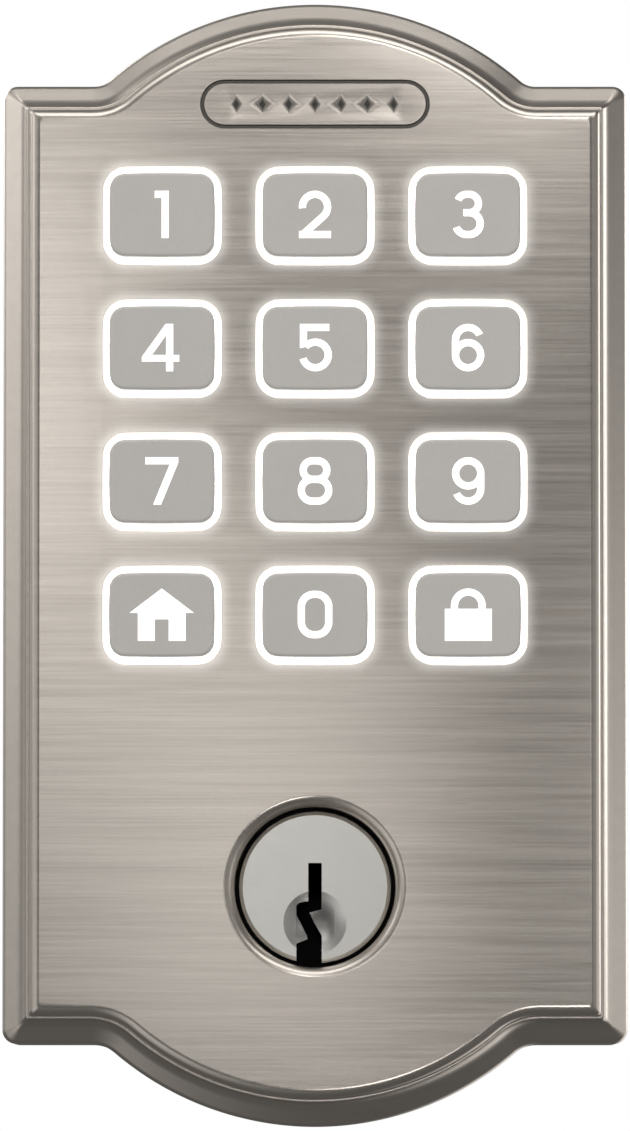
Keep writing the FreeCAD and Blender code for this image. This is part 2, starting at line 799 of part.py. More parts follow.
# ---- Fasteners, plate, gasket and posts ----
def cross_recess(front, back, x, z):
    half = recess_across / 2
    arm = recess_arm / 2
    return joined([block(x - half, x + half, front, back, z - arm, z + arm),
                   block(x - arm, x + arm, front, back, z - half, z + half)])


def make_board_screws():
    screws = []
    for x, z in board_screw_places:
        shank = rod(board_screw_radius, board_y - board_screw_bite, tray_back_y, x, z)
        top = tray_back_y + board_screw_head_height
        head = rod(board_screw_head, tray_back_y, top, x, z)
        screws.append(joined([shank, head]).cut(cross_recess(top - recess_depth, top, x, z)))
    return Part.makeCompound(screws)


def make_back_plate():
    plate = plate_slab(side_wall + back_plate_clearance, back_plate_y, rim_y)
    plate = joined([plate, rod(spigot_radius - spigot_relief_depth, back_plate_y, spigot_relief),
                    rod(spigot_radius, spigot_relief, spigot_end)])
    head_depth = plate_screw_head - plate_screw_radius
    cuts = [rod(spigot_radius - spigot_wall, rim_y, spigot_end)]
    cuts.append(rod(housing_radius + body_clearance, back_plate_y, rim_y))
    half = bible_width / 2 + body_clearance
    cuts.append(block(-half, half, back_plate_y, rim_y, 0.0,
                      bible_top + cover_thickness + body_clearance))
    cuts += [rod(post_radius + post_clearance, back_plate_y, rim_y, x, z) for x, z in post_places]
    cuts += [rod(plate_screw_radius, back_plate_y, rim_y, x, z) for x, z in plate_screw_places + ear_places]
    cuts += [taper(plate_screw_radius, plate_screw_head, rim_y - head_depth, rim_y, x, z)
             for x, z in plate_screw_places]
    port_half = socket_width / 2 + port_margin_x
    port_rise = socket_height / 2 + port_margin_z
    cuts.append(block(-port_half, port_half, back_plate_y, rim_y, socket_z - port_rise, socket_z + port_rise))
    return plate.cut(cuts)


def make_plate_screws():
    screws = []
    head_depth = plate_screw_head - plate_screw_radius
    for x, z in plate_screw_places:
        shank = rod(plate_screw_radius, back_plate_y - plate_screw_bite + plate_screw_tip_gap,
                    rim_y - head_depth, x, z)
        head = taper(plate_screw_radius, plate_screw_head, rim_y - head_depth, rim_y, x, z)
        screws.append(joined([shank, head]).cut(cross_recess(rim_y - recess_depth, rim_y, x, z)))
    return Part.makeCompound(screws)


def make_gasket():
    pad = plate_slab(gasket_inset, rim_y, 0.0)
    return pad.cut([plate_slab(gasket_inset + gasket_band, rim_y, 0.0),
                    rod(spigot_radius + gasket_bore_clearance, rim_y, 0.0)])


def make_posts():
    posts = []
    for x, z in post_places:
        post = rod(post_radius, post_boss_y - post_seat_depth, post_reach, x, z)
        posts.append(post.cut(rod(post_thread_radius, post_reach - post_thread_depth, post_reach, x, z)))
    return Part.makeCompound(posts)


# ---- Lock cylinder ----
def keyway_section(y):
    # Warded slot seen from the front: narrow blade slot, two side wards, open at the bottom.
    slim = keyway_slim
    wide = keyway_wide
    low = plug_head_radius + keyway_overrun
    points = [(-slim, 2.97), (slim, 2.97), (slim, -2.66), (-0.68, -3.06), (-0.14, -4.2), (slim, -5.85),
              (slim, -low), (-wide, -low), (-wide, -6.84), (-0.95, -6.3), (-0.95, -5.94),
              (-wide, -3.33), (-wide, -2.16), (-1.85, -1.85), (-slim, -1.62)]
    return closed_wire([(p, None) for p in points], y)


def make_key_plug():
    chamfer_y = plug_face_y + plug_head_chamfer
    plug = joined([
        taper(plug_head_radius - plug_head_chamfer, plug_head_radius, plug_face_y, chamfer_y),
        rod(plug_head_radius, chamfer_y, plug_head_back_y),
        rod(plug_radius, plug_head_back_y, plug_back_y),
        rod(neck_radius, plug_back_y, neck_back_y)])
    ball = (dimple_radius ** 2 + dimple_depth ** 2) / (2 * dimple_depth)
    clip_y = plug_back_y + clip_offset
    cuts = [Part.makeSphere(ball, vec(0, plug_face_y + dimple_depth - ball, -dimple_drop)),
            prism(keyway_section(plug_face_y), plug_back_y - keyway_end),
            tube(neck_radius, clip_seat_radius, clip_y, clip_y + clip_thickness)]
    cuts += [upright(pin_radius + plug_chamber_clearance, chamber_floor, plug_radius, y) for y in stack_y]
    return plug.cut(cuts)


def make_housing():
    bible_y = face_y + bible_start
    half = bible_width / 2
    ring = cylinder_window_radius - housing_ring_fit
    ears = []
    for x, z in ear_places:
        ears.append(rod(ear_radius, back_plate_y - ear_thickness, back_plate_y, x, z))
        reach = math.hypot(x, z)
        link = block(-ear_radius, ear_radius, back_plate_y - ear_thickness, back_plate_y, 0.0, reach)
        link.rotate(vec(0, 0, 0), vec(0, 1, 0), math.degrees(math.atan2(x, z)))
        ears.append(link)
    body = joined([rod(ring, housing_y, housing_y + housing_ring_length),
                   rod(housing_radius, housing_y, housing_reach),
                   block(-half, half, bible_y, housing_reach, 0.0, bible_top)] + ears)
    cuts = [rod(housing_bore_radius, housing_y, housing_reach)]
    cuts += [upright(pin_radius + housing_chamber_clearance, 0.0, bible_top, y) for y in stack_y]
    cuts += [rod(plate_screw_radius, back_plate_y - ear_thickness, back_plate_y, x, z)
             for x, z in ear_places]
    cuts += [rod(drill_pin_radius, housing_y, housing_y + drill_pin_length, x, 0.0)
             for x in drill_pin_columns()]
    return body.cut(cuts)


def drill_pin_columns():
    middle = (plug_radius + cylinder_window_radius - housing_ring_fit) / 2
    return [-middle, middle]


def make_drill_pins():
    return Part.makeCompound([rod(drill_pin_radius, housing_y, housing_y + drill_pin_length, x, 0.0)
                              for x in drill_pin_columns()])


def shear_height(gap):
    # Height at which a flat pin end of full width stays clear of the plug's round surface.
    return math.sqrt(plug_radius ** 2 - pin_radius ** 2) - gap


def make_bottom_pin(index):
    top = shear_height(shear_gap)
    low = top - bottom_pin_lengths[index]
    y = stack_y[index]
    tip = Part.makeCone(pin_tip_radius, pin_radius, pin_tip_length, vec(0, y, low), vec(0, 0, 1))
    return joined([tip, upright(pin_radius, low + pin_tip_length, top, y)])


def driver_low():
    return housing_bore_radius + shear_gap


def make_driver_pin(index):
    return upright(pin_radius, driver_low(), driver_low() + driver_length, stack_y[index])


def make_pin_springs():
    low = driver_low() + driver_length + spring_end_gap + spring_wire
    high = bible_top - spring_end_gap - spring_wire
    springs = []
    for y in stack_y:
        helix = Part.makeHelix((high - low) / spring_turns, high - low, spring_radius)
        section = Part.Wire(Part.makeCircle(spring_wire, vec(spring_radius, 0, 0), vec(0, 1, 0)))
        spring = Part.Wire(helix).makePipeShell([section], True, True)
        spring.translate(vec(0, y, low))
        springs.append(spring)
    return Part.makeCompound(springs)


def make_spring_cover():
    half = bible_width / 2 - cover_inset
    return block(-half, half, face_y + bible_start + cover_inset, housing_reach - cover_inset,
                 bible_top, bible_top + cover_thickness)


def make_plug_clip():
    front = plug_back_y + clip_offset
    ring = tube(clip_radius, clip_seat_radius, front, front + clip_thickness)
    return ring.cut(block(-clip_mouth / 2, clip_mouth / 2, front, front + clip_thickness, 0.0, clip_radius))


def make_tailpiece():
    disc = rod(neck_radius - tail_disc_clearance, neck_back_y, tail_disc_back_y)
    half_w = tail_width / 2
    half_t = tail_thickness / 2
    tip = tail_reach - tail_tip_chamfer
    points = [(-half_w, tail_disc_back_y), (half_w, tail_disc_back_y), (half_w, tip),
              (half_w - tail_tip_chamfer, tail_reach), (tail_tip_chamfer - half_w, tail_reach),
              (-half_w, tip)]
    corners = [vec(x, y, -half_t) for x, y in points]
    blade = Part.Face(Part.makePolygon(corners + corners[:1])).extrude(vec(0, 0, tail_thickness))
    return joined([disc, blade])


def make_tailpiece_cap():
    front = plug_back_y + cap_start
    cap = rod(cap_radius, front, cap_back_y).cut(rod(neck_radius, front, tail_disc_back_y))
    half_w = tail_width / 2 + cap_slot_clearance
    half_t = tail_thickness / 2 + cap_slot_clearance
    cuts = [block(-half_w, half_w, tail_disc_back_y, cap_back_y, -half_t, half_t)]
    for i in range(cap_grip):
        a = 2 * math.pi * i / cap_grip
        cuts.append(rod(cap_flute_radius, front, cap_back_y,
                        cap_radius * math.cos(a), cap_radius * math.sin(a)))
    return cap.cut(cuts)


def make_cylinder_screws():
    screws = []
    for x, z in ear_places:
        top = rim_y + ear_screw_head_height
        shank = rod(plate_screw_radius, back_plate_y - ear_thickness, rim_y, x, z)
        head = rod(ear_screw_head, rim_y, top, x, z)
        screws.append(joined([shank, head]).cut(cross_recess(top - recess_depth, top, x, z)))
    return Part.makeCompound(screws)


# ---- All nodes ----
def all_nodes():
    nodes = {
        "escutcheon": make_escutcheon(),
        "light_guide": make_light_guide(),
        "key_mat": make_key_mat(),
        "snap_domes": make_snap_domes(),
        "keypad_board": make_board(),
        "backlight_leds": make_leds(),
        "board_chips": make_chips(),
        "sounder": make_sounder(),
        "harness_socket": make_socket(),
        "socket_contacts": make_contacts(),
        "rear_cover": make_rear_cover(),
        "board_screws": make_board_screws(),
        "back_plate": make_back_plate(),
        "back_plate_screws": make_plate_screws(),
        "door_gasket": make_gasket(),
        "mounting_posts": make_posts(),
        "cylinder_housing": make_housing(),
        "drill_pins": make_drill_pins(),
        "cylinder_screws": make_cylinder_screws(),
        "pin_springs": make_pin_springs(),
        "spring_cover": make_spring_cover(),
        "key_plug": make_key_plug(),
        "plug_clip": make_plug_clip(),
        "tailpiece": make_tailpiece(),
        "tailpiece_cap": make_tailpiece_cap(),
    }
    for name, x, z in key_places():
        nodes["key_cap_" + name] = make_key_cap(name, x, z)
        nodes["key_lens_" + name] = make_key_lens(name, x, z)
    for i in range(stack_count):
        nodes["bottom_pin_" + str(i + 1)] = make_bottom_pin(i)
        nodes["driver_pin_" + str(i + 1)] = make_driver_pin(i)
    return nodes


os.makedirs("parts", exist_ok=True)
for node_name, node_shape in all_nodes().items():
    print(node_name, len(node_shape.Solids), node_shape.isValid(), round(node_shape.Volume, 2))
    node_shape.exportStep("parts/" + node_name + ".step")
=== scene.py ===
import math

import bmesh
import bpy
import numpy as np
from mathutils import Matrix, Vector
from mathutils.geometry import delaunay_2d_cdt


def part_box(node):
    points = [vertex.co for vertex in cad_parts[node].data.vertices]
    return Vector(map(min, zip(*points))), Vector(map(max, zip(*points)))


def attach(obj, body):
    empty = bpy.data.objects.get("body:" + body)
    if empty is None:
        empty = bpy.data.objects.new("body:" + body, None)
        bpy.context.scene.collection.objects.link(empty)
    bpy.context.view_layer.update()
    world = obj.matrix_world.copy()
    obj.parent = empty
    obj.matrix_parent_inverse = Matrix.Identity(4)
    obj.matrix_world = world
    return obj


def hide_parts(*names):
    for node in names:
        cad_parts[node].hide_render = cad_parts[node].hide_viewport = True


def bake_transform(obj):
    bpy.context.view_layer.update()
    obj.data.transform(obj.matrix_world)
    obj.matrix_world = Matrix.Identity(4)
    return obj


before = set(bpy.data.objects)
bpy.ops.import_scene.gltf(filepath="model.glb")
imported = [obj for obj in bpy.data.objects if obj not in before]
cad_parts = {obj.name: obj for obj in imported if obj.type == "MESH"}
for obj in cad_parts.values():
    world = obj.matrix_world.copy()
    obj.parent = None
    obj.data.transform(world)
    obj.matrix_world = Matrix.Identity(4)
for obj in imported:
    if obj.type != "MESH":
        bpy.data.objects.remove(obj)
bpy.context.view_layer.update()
scene = bpy.context.scene
mm = 0.001  # sizes below are in millimetres


# small helpers for meshes
def addLoop(bm, points):
    return [bm.verts.new((x * mm, y * mm, z * mm)) for x, y, z in points]


def skin(bm, first, second):  # a band of quads between two loops of as many points
    count = len(first)
    for i in range(count):
        j = (i + 1) % count
        bm.faces.new((first[i], first[j], second[j], second[i]))


def skinAll(bm, loops):
    for first, second in zip(loops, loops[1:]):
        skin(bm, first, second)


def fill(bm, *loops):  # a flat face inside the first loop, with the other loops left open
    verts = [vert for loop in loops for vert in loop]
    flat = [Vector((vert.co.x, vert.co.z)) for vert in verts]
    edges = []
    for loop in loops:
        start = len(edges)
        edges += [(start + i, start + (i + 1) % len(loop)) for i in range(len(loop))]
    points, _, triangles, sources = delaunay_2d_cdt(flat, edges, [], 0, 1e-9)[:4]
    ends = np.array([(flat[a], flat[b]) for a, b in edges])
    for triangle in triangles:
        middle = sum((points[i] for i in triangle), Vector((0, 0))) / 3
        above = (ends[:, 0, 1] > middle.y) != (ends[:, 1, 1] > middle.y)
        a, b = ends[above, 0], ends[above, 1]
        crossed = a[:, 0] + (middle.y - a[:, 1]) * (b[:, 0] - a[:, 0]) / (b[:, 1] - a[:, 1]) > middle.x
        if crossed.sum() % 2:
            bm.faces.new([verts[sources[i][0]] for i in triangle])


def circle(radius, y, x=0.0, z=0.0, count=96):
    turn = 2 * math.pi / count
    return [(x + radius * math.sin(i * turn), y, z + radius * math.cos(i * turn)) for i in range(count)]


def lathe(bm, profile, x=0.0, z=0.0, count=48):  # closed solid of revolution about Y, from (radius, y) pairs
    loops = [addLoop(bm, circle(radius, y, x, z, count)) for radius, y in profile]
    skinAll(bm, loops)
    fill(bm, loops[0])
    fill(bm, loops[-1])


def finished(name, bm, material, sharpAngle=32.0, weighted=True):
    bmesh.ops.recalc_face_normals(bm, faces=bm.faces[:])
    mesh = bpy.data.meshes.new(name)
    bm.to_mesh(mesh)
    bm.free()
    mesh.shade_smooth()
    mesh.set_sharp_from_angle(angle=math.radians(sharpAngle))
    piece = bpy.data.objects.new(name, mesh)
    scene.collection.objects.link(piece)
    mesh.materials.append(material)
    if weighted:
        modifier = piece.modifiers.new("weighted", "WEIGHTED_NORMAL")
        modifier.keep_sharp = True
        bake(piece)
    return piece


def bake(piece):  # the evaluated result becomes the piece's own plain mesh
    evaluated = piece.evaluated_get(bpy.context.evaluated_depsgraph_get())
    mesh = bpy.data.meshes.new_from_object(evaluated)
    piece.modifiers.clear()
    piece.data = mesh
    mesh.name = piece.name
    return piece


# small helpers for node trees
def link(tree, value, socket):
    if isinstance(value, bpy.types.NodeSocket):
        tree.links.new(value, socket)
    else:
        socket.default_value = value


def maths(tree, operation, *values):
    node = tree.nodes.new("ShaderNodeMath")
    node.operation = operation
    for socket, value in zip(node.inputs, values):
        link(tree, value, socket)
    return node.outputs[0]


def vectorMaths(tree, operation, *values):
    node = tree.nodes.new("ShaderNodeVectorMath")
    node.operation = operation
    for socket, value in zip(node.inputs, values):
        link(tree, value, socket)
    return node.outputs["Value" if operation in ("LENGTH", "DOT_PRODUCT") else "Vector"]


def remap(tree, value, fromLow, fromHigh, toLow, toHigh, smooth=False):
    node = tree.nodes.new("ShaderNodeMapRange")
    node.interpolation_type = "SMOOTHSTEP" if smooth else "LINEAR"
    for index, entry in enumerate((value, fromLow, fromHigh, toLow, toHigh)):
        link(tree, entry, node.inputs[index])
    return node.outputs[0]


def place(tree, scale=(1, 1, 1), shift=(0, 0, 0)):  # object coordinates, stretched
    coordinate = tree.nodes.new("ShaderNodeTexCoord")
    mapping = tree.nodes.new("ShaderNodeMapping")
    mapping.inputs["Location"].default_value = shift
    mapping.inputs["Scale"].default_value = scale
    tree.links.new(coordinate.outputs["Object"], mapping.inputs["Vector"])
    return mapping.outputs["Vector"]


def noise(tree, vector, detail, roughness):
    node = tree.nodes.new("ShaderNodeTexNoise")
    link(tree, vector, node.inputs["Vector"])
    node.inputs["Scale"].default_value = 1.0
    node.inputs["Detail"].default_value = detail
    node.inputs["Roughness"].default_value = roughness
    return node.outputs["Fac"]


def speckle(tree, perMetre, detail=2.0, roughness=0.5, shift=(0, 0, 0)):  # alike in all directions
    return noise(tree, place(tree, (perMetre,) * 3, shift), detail, roughness)


def ramp(tree, factor, stops):  # stops are (position, linear colour)
    node = tree.nodes.new("ShaderNodeValToRGB")
    link(tree, factor, node.inputs["Fac"])
    elements = node.color_ramp.elements
    while len(elements) < len(stops):
        elements.new(0.5)
    for element, (position, colour) in zip(elements, stops):
        element.position = position
        element.color = (*colour, 1.0)
    return node.outputs["Color"]


def bump(tree, height, distance, strength):
    node = tree.nodes.new("ShaderNodeBump")
    node.inputs["Strength"].default_value = strength
    node.inputs["Distance"].default_value = distance
    link(tree, height, node.inputs["Height"])
    return node.outputs["Normal"]


def newMaterial(name, **constants):
    material = bpy.data.materials.new(name)
    material.use_nodes = True
    shader = material.node_tree.nodes["Principled BSDF"]
    for key, value in constants.items():
        shader.inputs[key.replace("_", " ")].default_value = value
    return material, material.node_tree, shader


def shade(colour, amount):
    return tuple(min(1.0, c * amount) for c in colour)


def mottled(tree, factor, colour, contrast):  # darker where the factor is low, lighter where it is high
    return ramp(tree, factor, [(0.3, shade(colour, 1 - contrast)), (0.7, shade(colour, 1 + contrast))])


def axes(tree):  # the X, Y and Z of the object coordinates
    apart = tree.nodes.new("ShaderNodeSeparateXYZ")
    tree.links.new(place(tree), apart.inputs[0])
    return apart.outputs


def byDepth(tree, y, near, far, atNear, atFar):  # changes between two depths behind the plate's face, in mm
    return remap(tree, y, (plate["face"] + near) * mm, (plate["face"] + far) * mm, atNear, atFar)


# the plate's outline, its ornament and the keypad's grid
plateLow, plateHigh = (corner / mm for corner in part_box("escutcheon"))
plate = {
    "halfWidth": plateHigh.x,
    "top": plateHigh.z,
    "bottom": -plateLow.z,
    "face": plateLow.y,
    "rim": plateHigh.y,
    "archRise": 10.1,
    "archRadius": {1: 38.3, -1: 37.6},
    "hollow": {1: 2.8, -1: 4.5},  # round between an arch and its shoulders
    "corner": 1.7,
    "leastCorner": 0.4,
    "archSteps": 48,
    "hollowSteps": 12,
    "cornerSteps": 10,
}
ornament = {
    "drop": 2.8,  # below the top shoulders
    "width": 28.0, "height": 6.0,
    "grooveWidth": 0.5, "grooveDepth": 0.3, "grooveSide": 0.12,
    "diamonds": 7, "diamondPitch": 3.2, "diamondWidth": 1.7, "diamondHeight": 2.8,
    "margin": 0.5,  # how far the painted groove shade reaches round it
}
ornamentZ = plate["top"] - plate["archRise"] - ornament["drop"]
keypad = {
    "columns": (-18.6, 0.0, 18.6),
    "rows": (81.75, 65.5, 49.25, 33.0),
    "key": {"width": 12.9, "height": 10.25, "corner": 1.9, "sideCrown": 70.0, "endCrown": 140.0},
    "frame": {"width": 14.3, "height": 11.91, "corner": 2.8, "sideCrown": 200.0, "endCrown": 200.0},
    "gap": 0.12,  # key to light frame
    "fit": 0.05,  # light frame to its opening
}
pitchX = keypad["columns"][1] - keypad["columns"][0]
pitchZ = keypad["rows"][0] - keypad["rows"][1]


def plateQuarter(inset, up):  # right half of one end, from its tip round to the side
    shoulder = (plate["top"] if up > 0 else plate["bottom"]) - plate["archRise"]
    arch, hollow = plate["archRadius"][up], plate["hollow"][up]
    corner = max(plate["corner"] - inset, plate["leastCorner"])
    half = plate["halfWidth"] - inset
    archZ = shoulder + plate["archRise"] - arch
    hollowZ = shoulder + hollow
    hollowX = math.sqrt((arch + hollow) ** 2 - (hollowZ - archZ) ** 2)
    lean = math.atan2(hollowX, hollowZ - archZ)
    points = [(0.0, archZ + arch - inset)]
    for i in range(1, plate["archSteps"] + 1):
        a = lean * i / plate["archSteps"]
        points.append(((arch - inset) * math.sin(a), archZ + (arch - inset) * math.cos(a)))
    for i in range(1, plate["hollowSteps"] + 1):
        a = lean * (1 - i / plate["hollowSteps"])
        points.append((hollowX - (hollow + inset) * math.sin(a), hollowZ - (hollow + inset) * math.cos(a)))
    cornerX, cornerZ = half - corner, shoulder - inset - corner
    for i in range(plate["cornerSteps"] + 1):
        a = math.pi / 2 * i / plate["cornerSteps"]
        points.append((cornerX + corner * math.sin(a), cornerZ + corner * math.cos(a)))
    return [(x, up * z) for x, z in points]


def plateOutline(inset, y):
    top, bottom = plateQuarter(inset, 1), plateQuarter(inset, -1)
    right = top + bottom[::-1]
    left = [(-x, z) for x, z in right[1:-1][::-1]]
    return [(x, y, z) for x, z in right + left]


def crownedOutline(shape, outset, y, x=0.0, z=0.0, cornerSteps=8, sideSteps=6):
    # rounded rectangle whose sides bow outwards, every arc running smoothly into the next
    corner = shape["corner"]
    sideCentre = shape["width"] / 2 - shape["sideCrown"]
    endCentre = shape["height"] / 2 - shape["endCrown"]
    sideReach, endReach = shape["sideCrown"] - corner, shape["endCrown"] - corner
    apart = math.hypot(sideCentre, endCentre)
    along = (sideReach ** 2 - endReach ** 2 + apart ** 2) / (2 * apart)
    across = math.sqrt(sideReach ** 2 - along ** 2)
    ux, uz = -sideCentre / apart, endCentre / apart
    cornerX = sideCentre + along * ux - across * uz
    cornerZ = along * uz + across * ux
    toSide = math.atan2(cornerZ, cornerX - sideCentre)
    toEnd = math.atan2(cornerZ - endCentre, cornerX)
    quarter = []
    for i in range(sideSteps):
        a = math.pi / 2 + (toEnd - math.pi / 2) * i / sideSteps
        reach = shape["endCrown"] + outset
        quarter.append((reach * math.cos(a), endCentre + reach * math.sin(a)))
    for i in range(cornerSteps + 1):
        a = toEnd + (toSide - toEnd) * i / cornerSteps
        quarter.append((cornerX + (corner + outset) * math.cos(a), cornerZ + (corner + outset) * math.sin(a)))
    for i in range(1, sideSteps + 1):
        a = toSide * (1 - i / sideSteps)
        reach = shape["sideCrown"] + outset
        quarter.append((sideCentre + reach * math.cos(a), reach * math.sin(a)))
    right = quarter + [(px, -pz) for px, pz in quarter[:-1][::-1]]
    left = [(-px, pz) for px, pz in right[1:-1][::-1]]
    return [(x + px, y, z + pz) for px, pz in right + left]


def keyPlaces():
    return [(x, z) for z in keypad["rows"] for x in keypad["columns"]]


# finishes: sizes and bump depths are in mm
# near black used as painted shade in hollows and gaps
shadeBlack = (0.004, 0.004, 0.004)
nickel = {
    "colour": (0.62, 0.575, 0.525),
    "tintDepth": 0.14,  # how far the brushing darkens and lightens it
    "roughness": 0.2,
    "borderRoughness": 0.34,
    "roughnessSwing": 0.1,  # with the brushing
    "brushDepth": 0.004,
    "brushLength": 20.0,
    "brushWidth": 0.22,
    "broadLong": 0.45, "broadWide": 0.16,  # pace of the broad streaks beside the fine ones, along and across
    "fineShare": 0.45, "broadShare": 0.55,
    "borderBrushing": 0.3,  # how much of the brushing the border keeps
    "cloudsPerMetre": 18, "cloudDepth": 0.15,
    "grainsPerMetre": 5200, "grainDepth": 0.04,
    "anisotropy": 0.4,
    "haloColour": (1.0, 0.985, 0.96),
    "haloWidth": 1.9,  # of the light that spills from a frame over the metal
    "haloFall": 2.4,
    "haloStrength": 0.3,
    "grooveShade": 0.8,  # how dark the painted shade on the ornament's floor is
}


def withPaintedShade(tree, colour, amount):  # colour turned to near black where amount is 1: painted shade for hollows and gaps
    mix = tree.nodes.new("ShaderNodeMix")
    mix.data_type = "RGBA"
    link(tree, amount, mix.inputs["Factor"])
    link(tree, colour, mix.inputs[6])
    mix.inputs[7].default_value = (*shadeBlack, 1.0)
    return mix.outputs[2]


def brushedNickel():
    material, tree, shader = newMaterial("satinNickel", Metallic=1.0, Anisotropic=nickel["anisotropy"],
                                         Anisotropic_Rotation=0.25)
    long, thin = 1 / (nickel["brushLength"] * mm), 1 / (nickel["brushWidth"] * mm)
    fine = noise(tree, place(tree, (long, thin, thin)), 3.0, 0.6)
    slow, wide = long * nickel["broadLong"], thin * nickel["broadWide"]
    broad = noise(tree, place(tree, (slow, wide, wide), (3.1, 0, 7.7)), 4.0, 0.6)
    cloud = speckle(tree, nickel["cloudsPerMetre"], shift=(1.7, 0, 0.4))
    grain = speckle(tree, nickel["grainsPerMetre"])
    x, y, z = axes(tree)
    onFace = byDepth(tree, y, 0.02, 0.12, 1.0, 0.0)
    brushed = remap(tree, onFace, 0.0, 1.0, nickel["borderBrushing"], 1.0)
    streak = maths(tree, "ADD", maths(tree, "MULTIPLY", fine, nickel["fineShare"]),
                   maths(tree, "MULTIPLY", broad, nickel["broadShare"]))
    centred = maths(tree, "MULTIPLY", maths(tree, "SUBTRACT", streak, 0.5), brushed)
    depth = nickel["tintDepth"]
    clouded = maths(tree, "MULTIPLY", maths(tree, "SUBTRACT", cloud, 0.5), nickel["cloudDepth"])
    tone = maths(tree, "ADD", centred, clouded)
    colour = ramp(tree, maths(tree, "ADD", tone, 0.5),
                  [(0.2, shade(nickel["colour"], 1 - depth * 2)), (0.5, nickel["colour"]),
                   (0.8, shade(nickel["colour"], 1 + depth * 2))])
    # painted shade on the ornament's groove floor and diamond facets, behind the face
    paintedGrooveShade = byDepth(tree, y, 0.05, 0.2, 0.0, nickel["grooveShade"])
    for along, centre, size in ((x, 0.0, ornament["width"]), (z, ornamentZ, ornament["height"])):
        away = maths(tree, "ABSOLUTE", maths(tree, "SUBTRACT", along, centre * mm))
        near = maths(tree, "LESS_THAN", away, (size / 2 + ornament["margin"]) * mm)
        paintedGrooveShade = maths(tree, "MULTIPLY", paintedGrooveShade, near)
    link(tree, withPaintedShade(tree, colour, paintedGrooveShade), shader.inputs["Base Color"])
    base = remap(tree, onFace, 0.0, 1.0, nickel["borderRoughness"], nickel["roughness"])
    rough = maths(tree, "ADD", maths(tree, "MULTIPLY", centred, nickel["roughnessSwing"]), base)
    grainy = maths(tree, "MULTIPLY", maths(tree, "SUBTRACT", grain, 0.5), nickel["grainDepth"])
    link(tree, maths(tree, "ADD", rough, grainy), shader.inputs["Roughness"])
    height = maths(tree, "MULTIPLY", fine, brushed)
    link(tree, bump(tree, height, nickel["brushDepth"] * mm, 0.5), shader.inputs["Normal"])
    tangent = tree.nodes.new("ShaderNodeTangent")
    tangent.direction_type = "UV_MAP"
    tangent.uv_map = "brush"
    tree.links.new(tangent.outputs["Tangent"], shader.inputs["Tangent"])
    # painted light: the metal itself glows round each light frame
    shader.inputs["Emission Color"].default_value = (*nickel["haloColour"], 1.0)
    halo = maths(tree, "MULTIPLY", frameGlow(tree, x, z), onFace)
    link(tree, maths(tree, "MULTIPLY", halo, nickel["haloStrength"]), shader.inputs["Emission Strength"])
    return material


def frameGlow(tree, x, z):  # 1 at a light frame's edge, falling to 0 at the halo's width
    shape = keypad["frame"]
    lastColumn, lastRow = (len(keypad["columns"]) - 1) / 2, len(keypad["rows"]) - 1
    fromTop = maths(tree, "SUBTRACT", keypad["rows"][0] * mm, z)
    sides = []
    for along, pitch, first, last, size in ((x, pitchX, -lastColumn, lastColumn, shape["width"]),
                                            (fromTop, pitchZ, 0, lastRow, shape["height"])):
        number = maths(tree, "ROUND", maths(tree, "DIVIDE", along, pitch * mm))
        number = maths(tree, "MINIMUM", maths(tree, "MAXIMUM", number, first), last)
        offset = maths(tree, "SUBTRACT", along, maths(tree, "MULTIPLY", number, pitch * mm))
        past = maths(tree, "SUBTRACT", maths(tree, "ABSOLUTE", offset), (size / 2 - shape["corner"]) * mm)
        sides.append(maths(tree, "MAXIMUM", past, 0.0))
    reach = maths(tree, "SQRT", maths(tree, "ADD", maths(tree, "MULTIPLY", sides[0], sides[0]),
                                      maths(tree, "MULTIPLY", sides[1], sides[1])))
    away = remap(tree, reach, shape["corner"] * mm, (shape["corner"] + nickel["haloWidth"]) * mm, 1.0, 0.0)
    return maths(tree, "POWER", away, nickel["haloFall"])


glow = {
    "colour": (1.0, 0.99, 0.97), "frame": 1.25, "sign": 1.0, "unevenness": 0.12,
    "milk": ((0.86, 0.86, 0.84), (0.93, 0.93, 0.91)), "milkPerMetre": 900, "milkDepth": 0.01,
    "patchesPerMetre": 160,
}


def glowingPlastic(name, strength):
    material, tree, shader = newMaterial(name, Roughness=0.38, Subsurface_Weight=0.2, Subsurface_Scale=0.002)
    milk = speckle(tree, glow["milkPerMetre"])
    link(tree, ramp(tree, milk, list(zip((0.3, 0.7), glow["milk"]))), shader.inputs["Base Color"])
    patches = speckle(tree, glow["patchesPerMetre"], 1.0)
    level = remap(tree, patches, 0.3, 0.7, strength * (1 - glow["unevenness"]), strength)
    shader.inputs["Emission Color"].default_value = (*glow["colour"], 1.0)
    link(tree, level, shader.inputs["Emission Strength"])
    link(tree, bump(tree, milk, glow["milkDepth"] * mm, 0.3), shader.inputs["Normal"])
    return material


keySkinLook = {
    "colour": (0.5, 0.48, 0.455), "fleck": 0.04, "fleckDepth": 0.008,
    "roughness": 0.42, "smoother": 0.05, "rougher": 0.07,  # by how much the flecks vary it
    "glow": 0.13, "glowColour": (1.0, 0.985, 0.96),  # light that soaks through from behind
    "flecksPerMetre": 3800, "patchesPerMetre": 240,
}


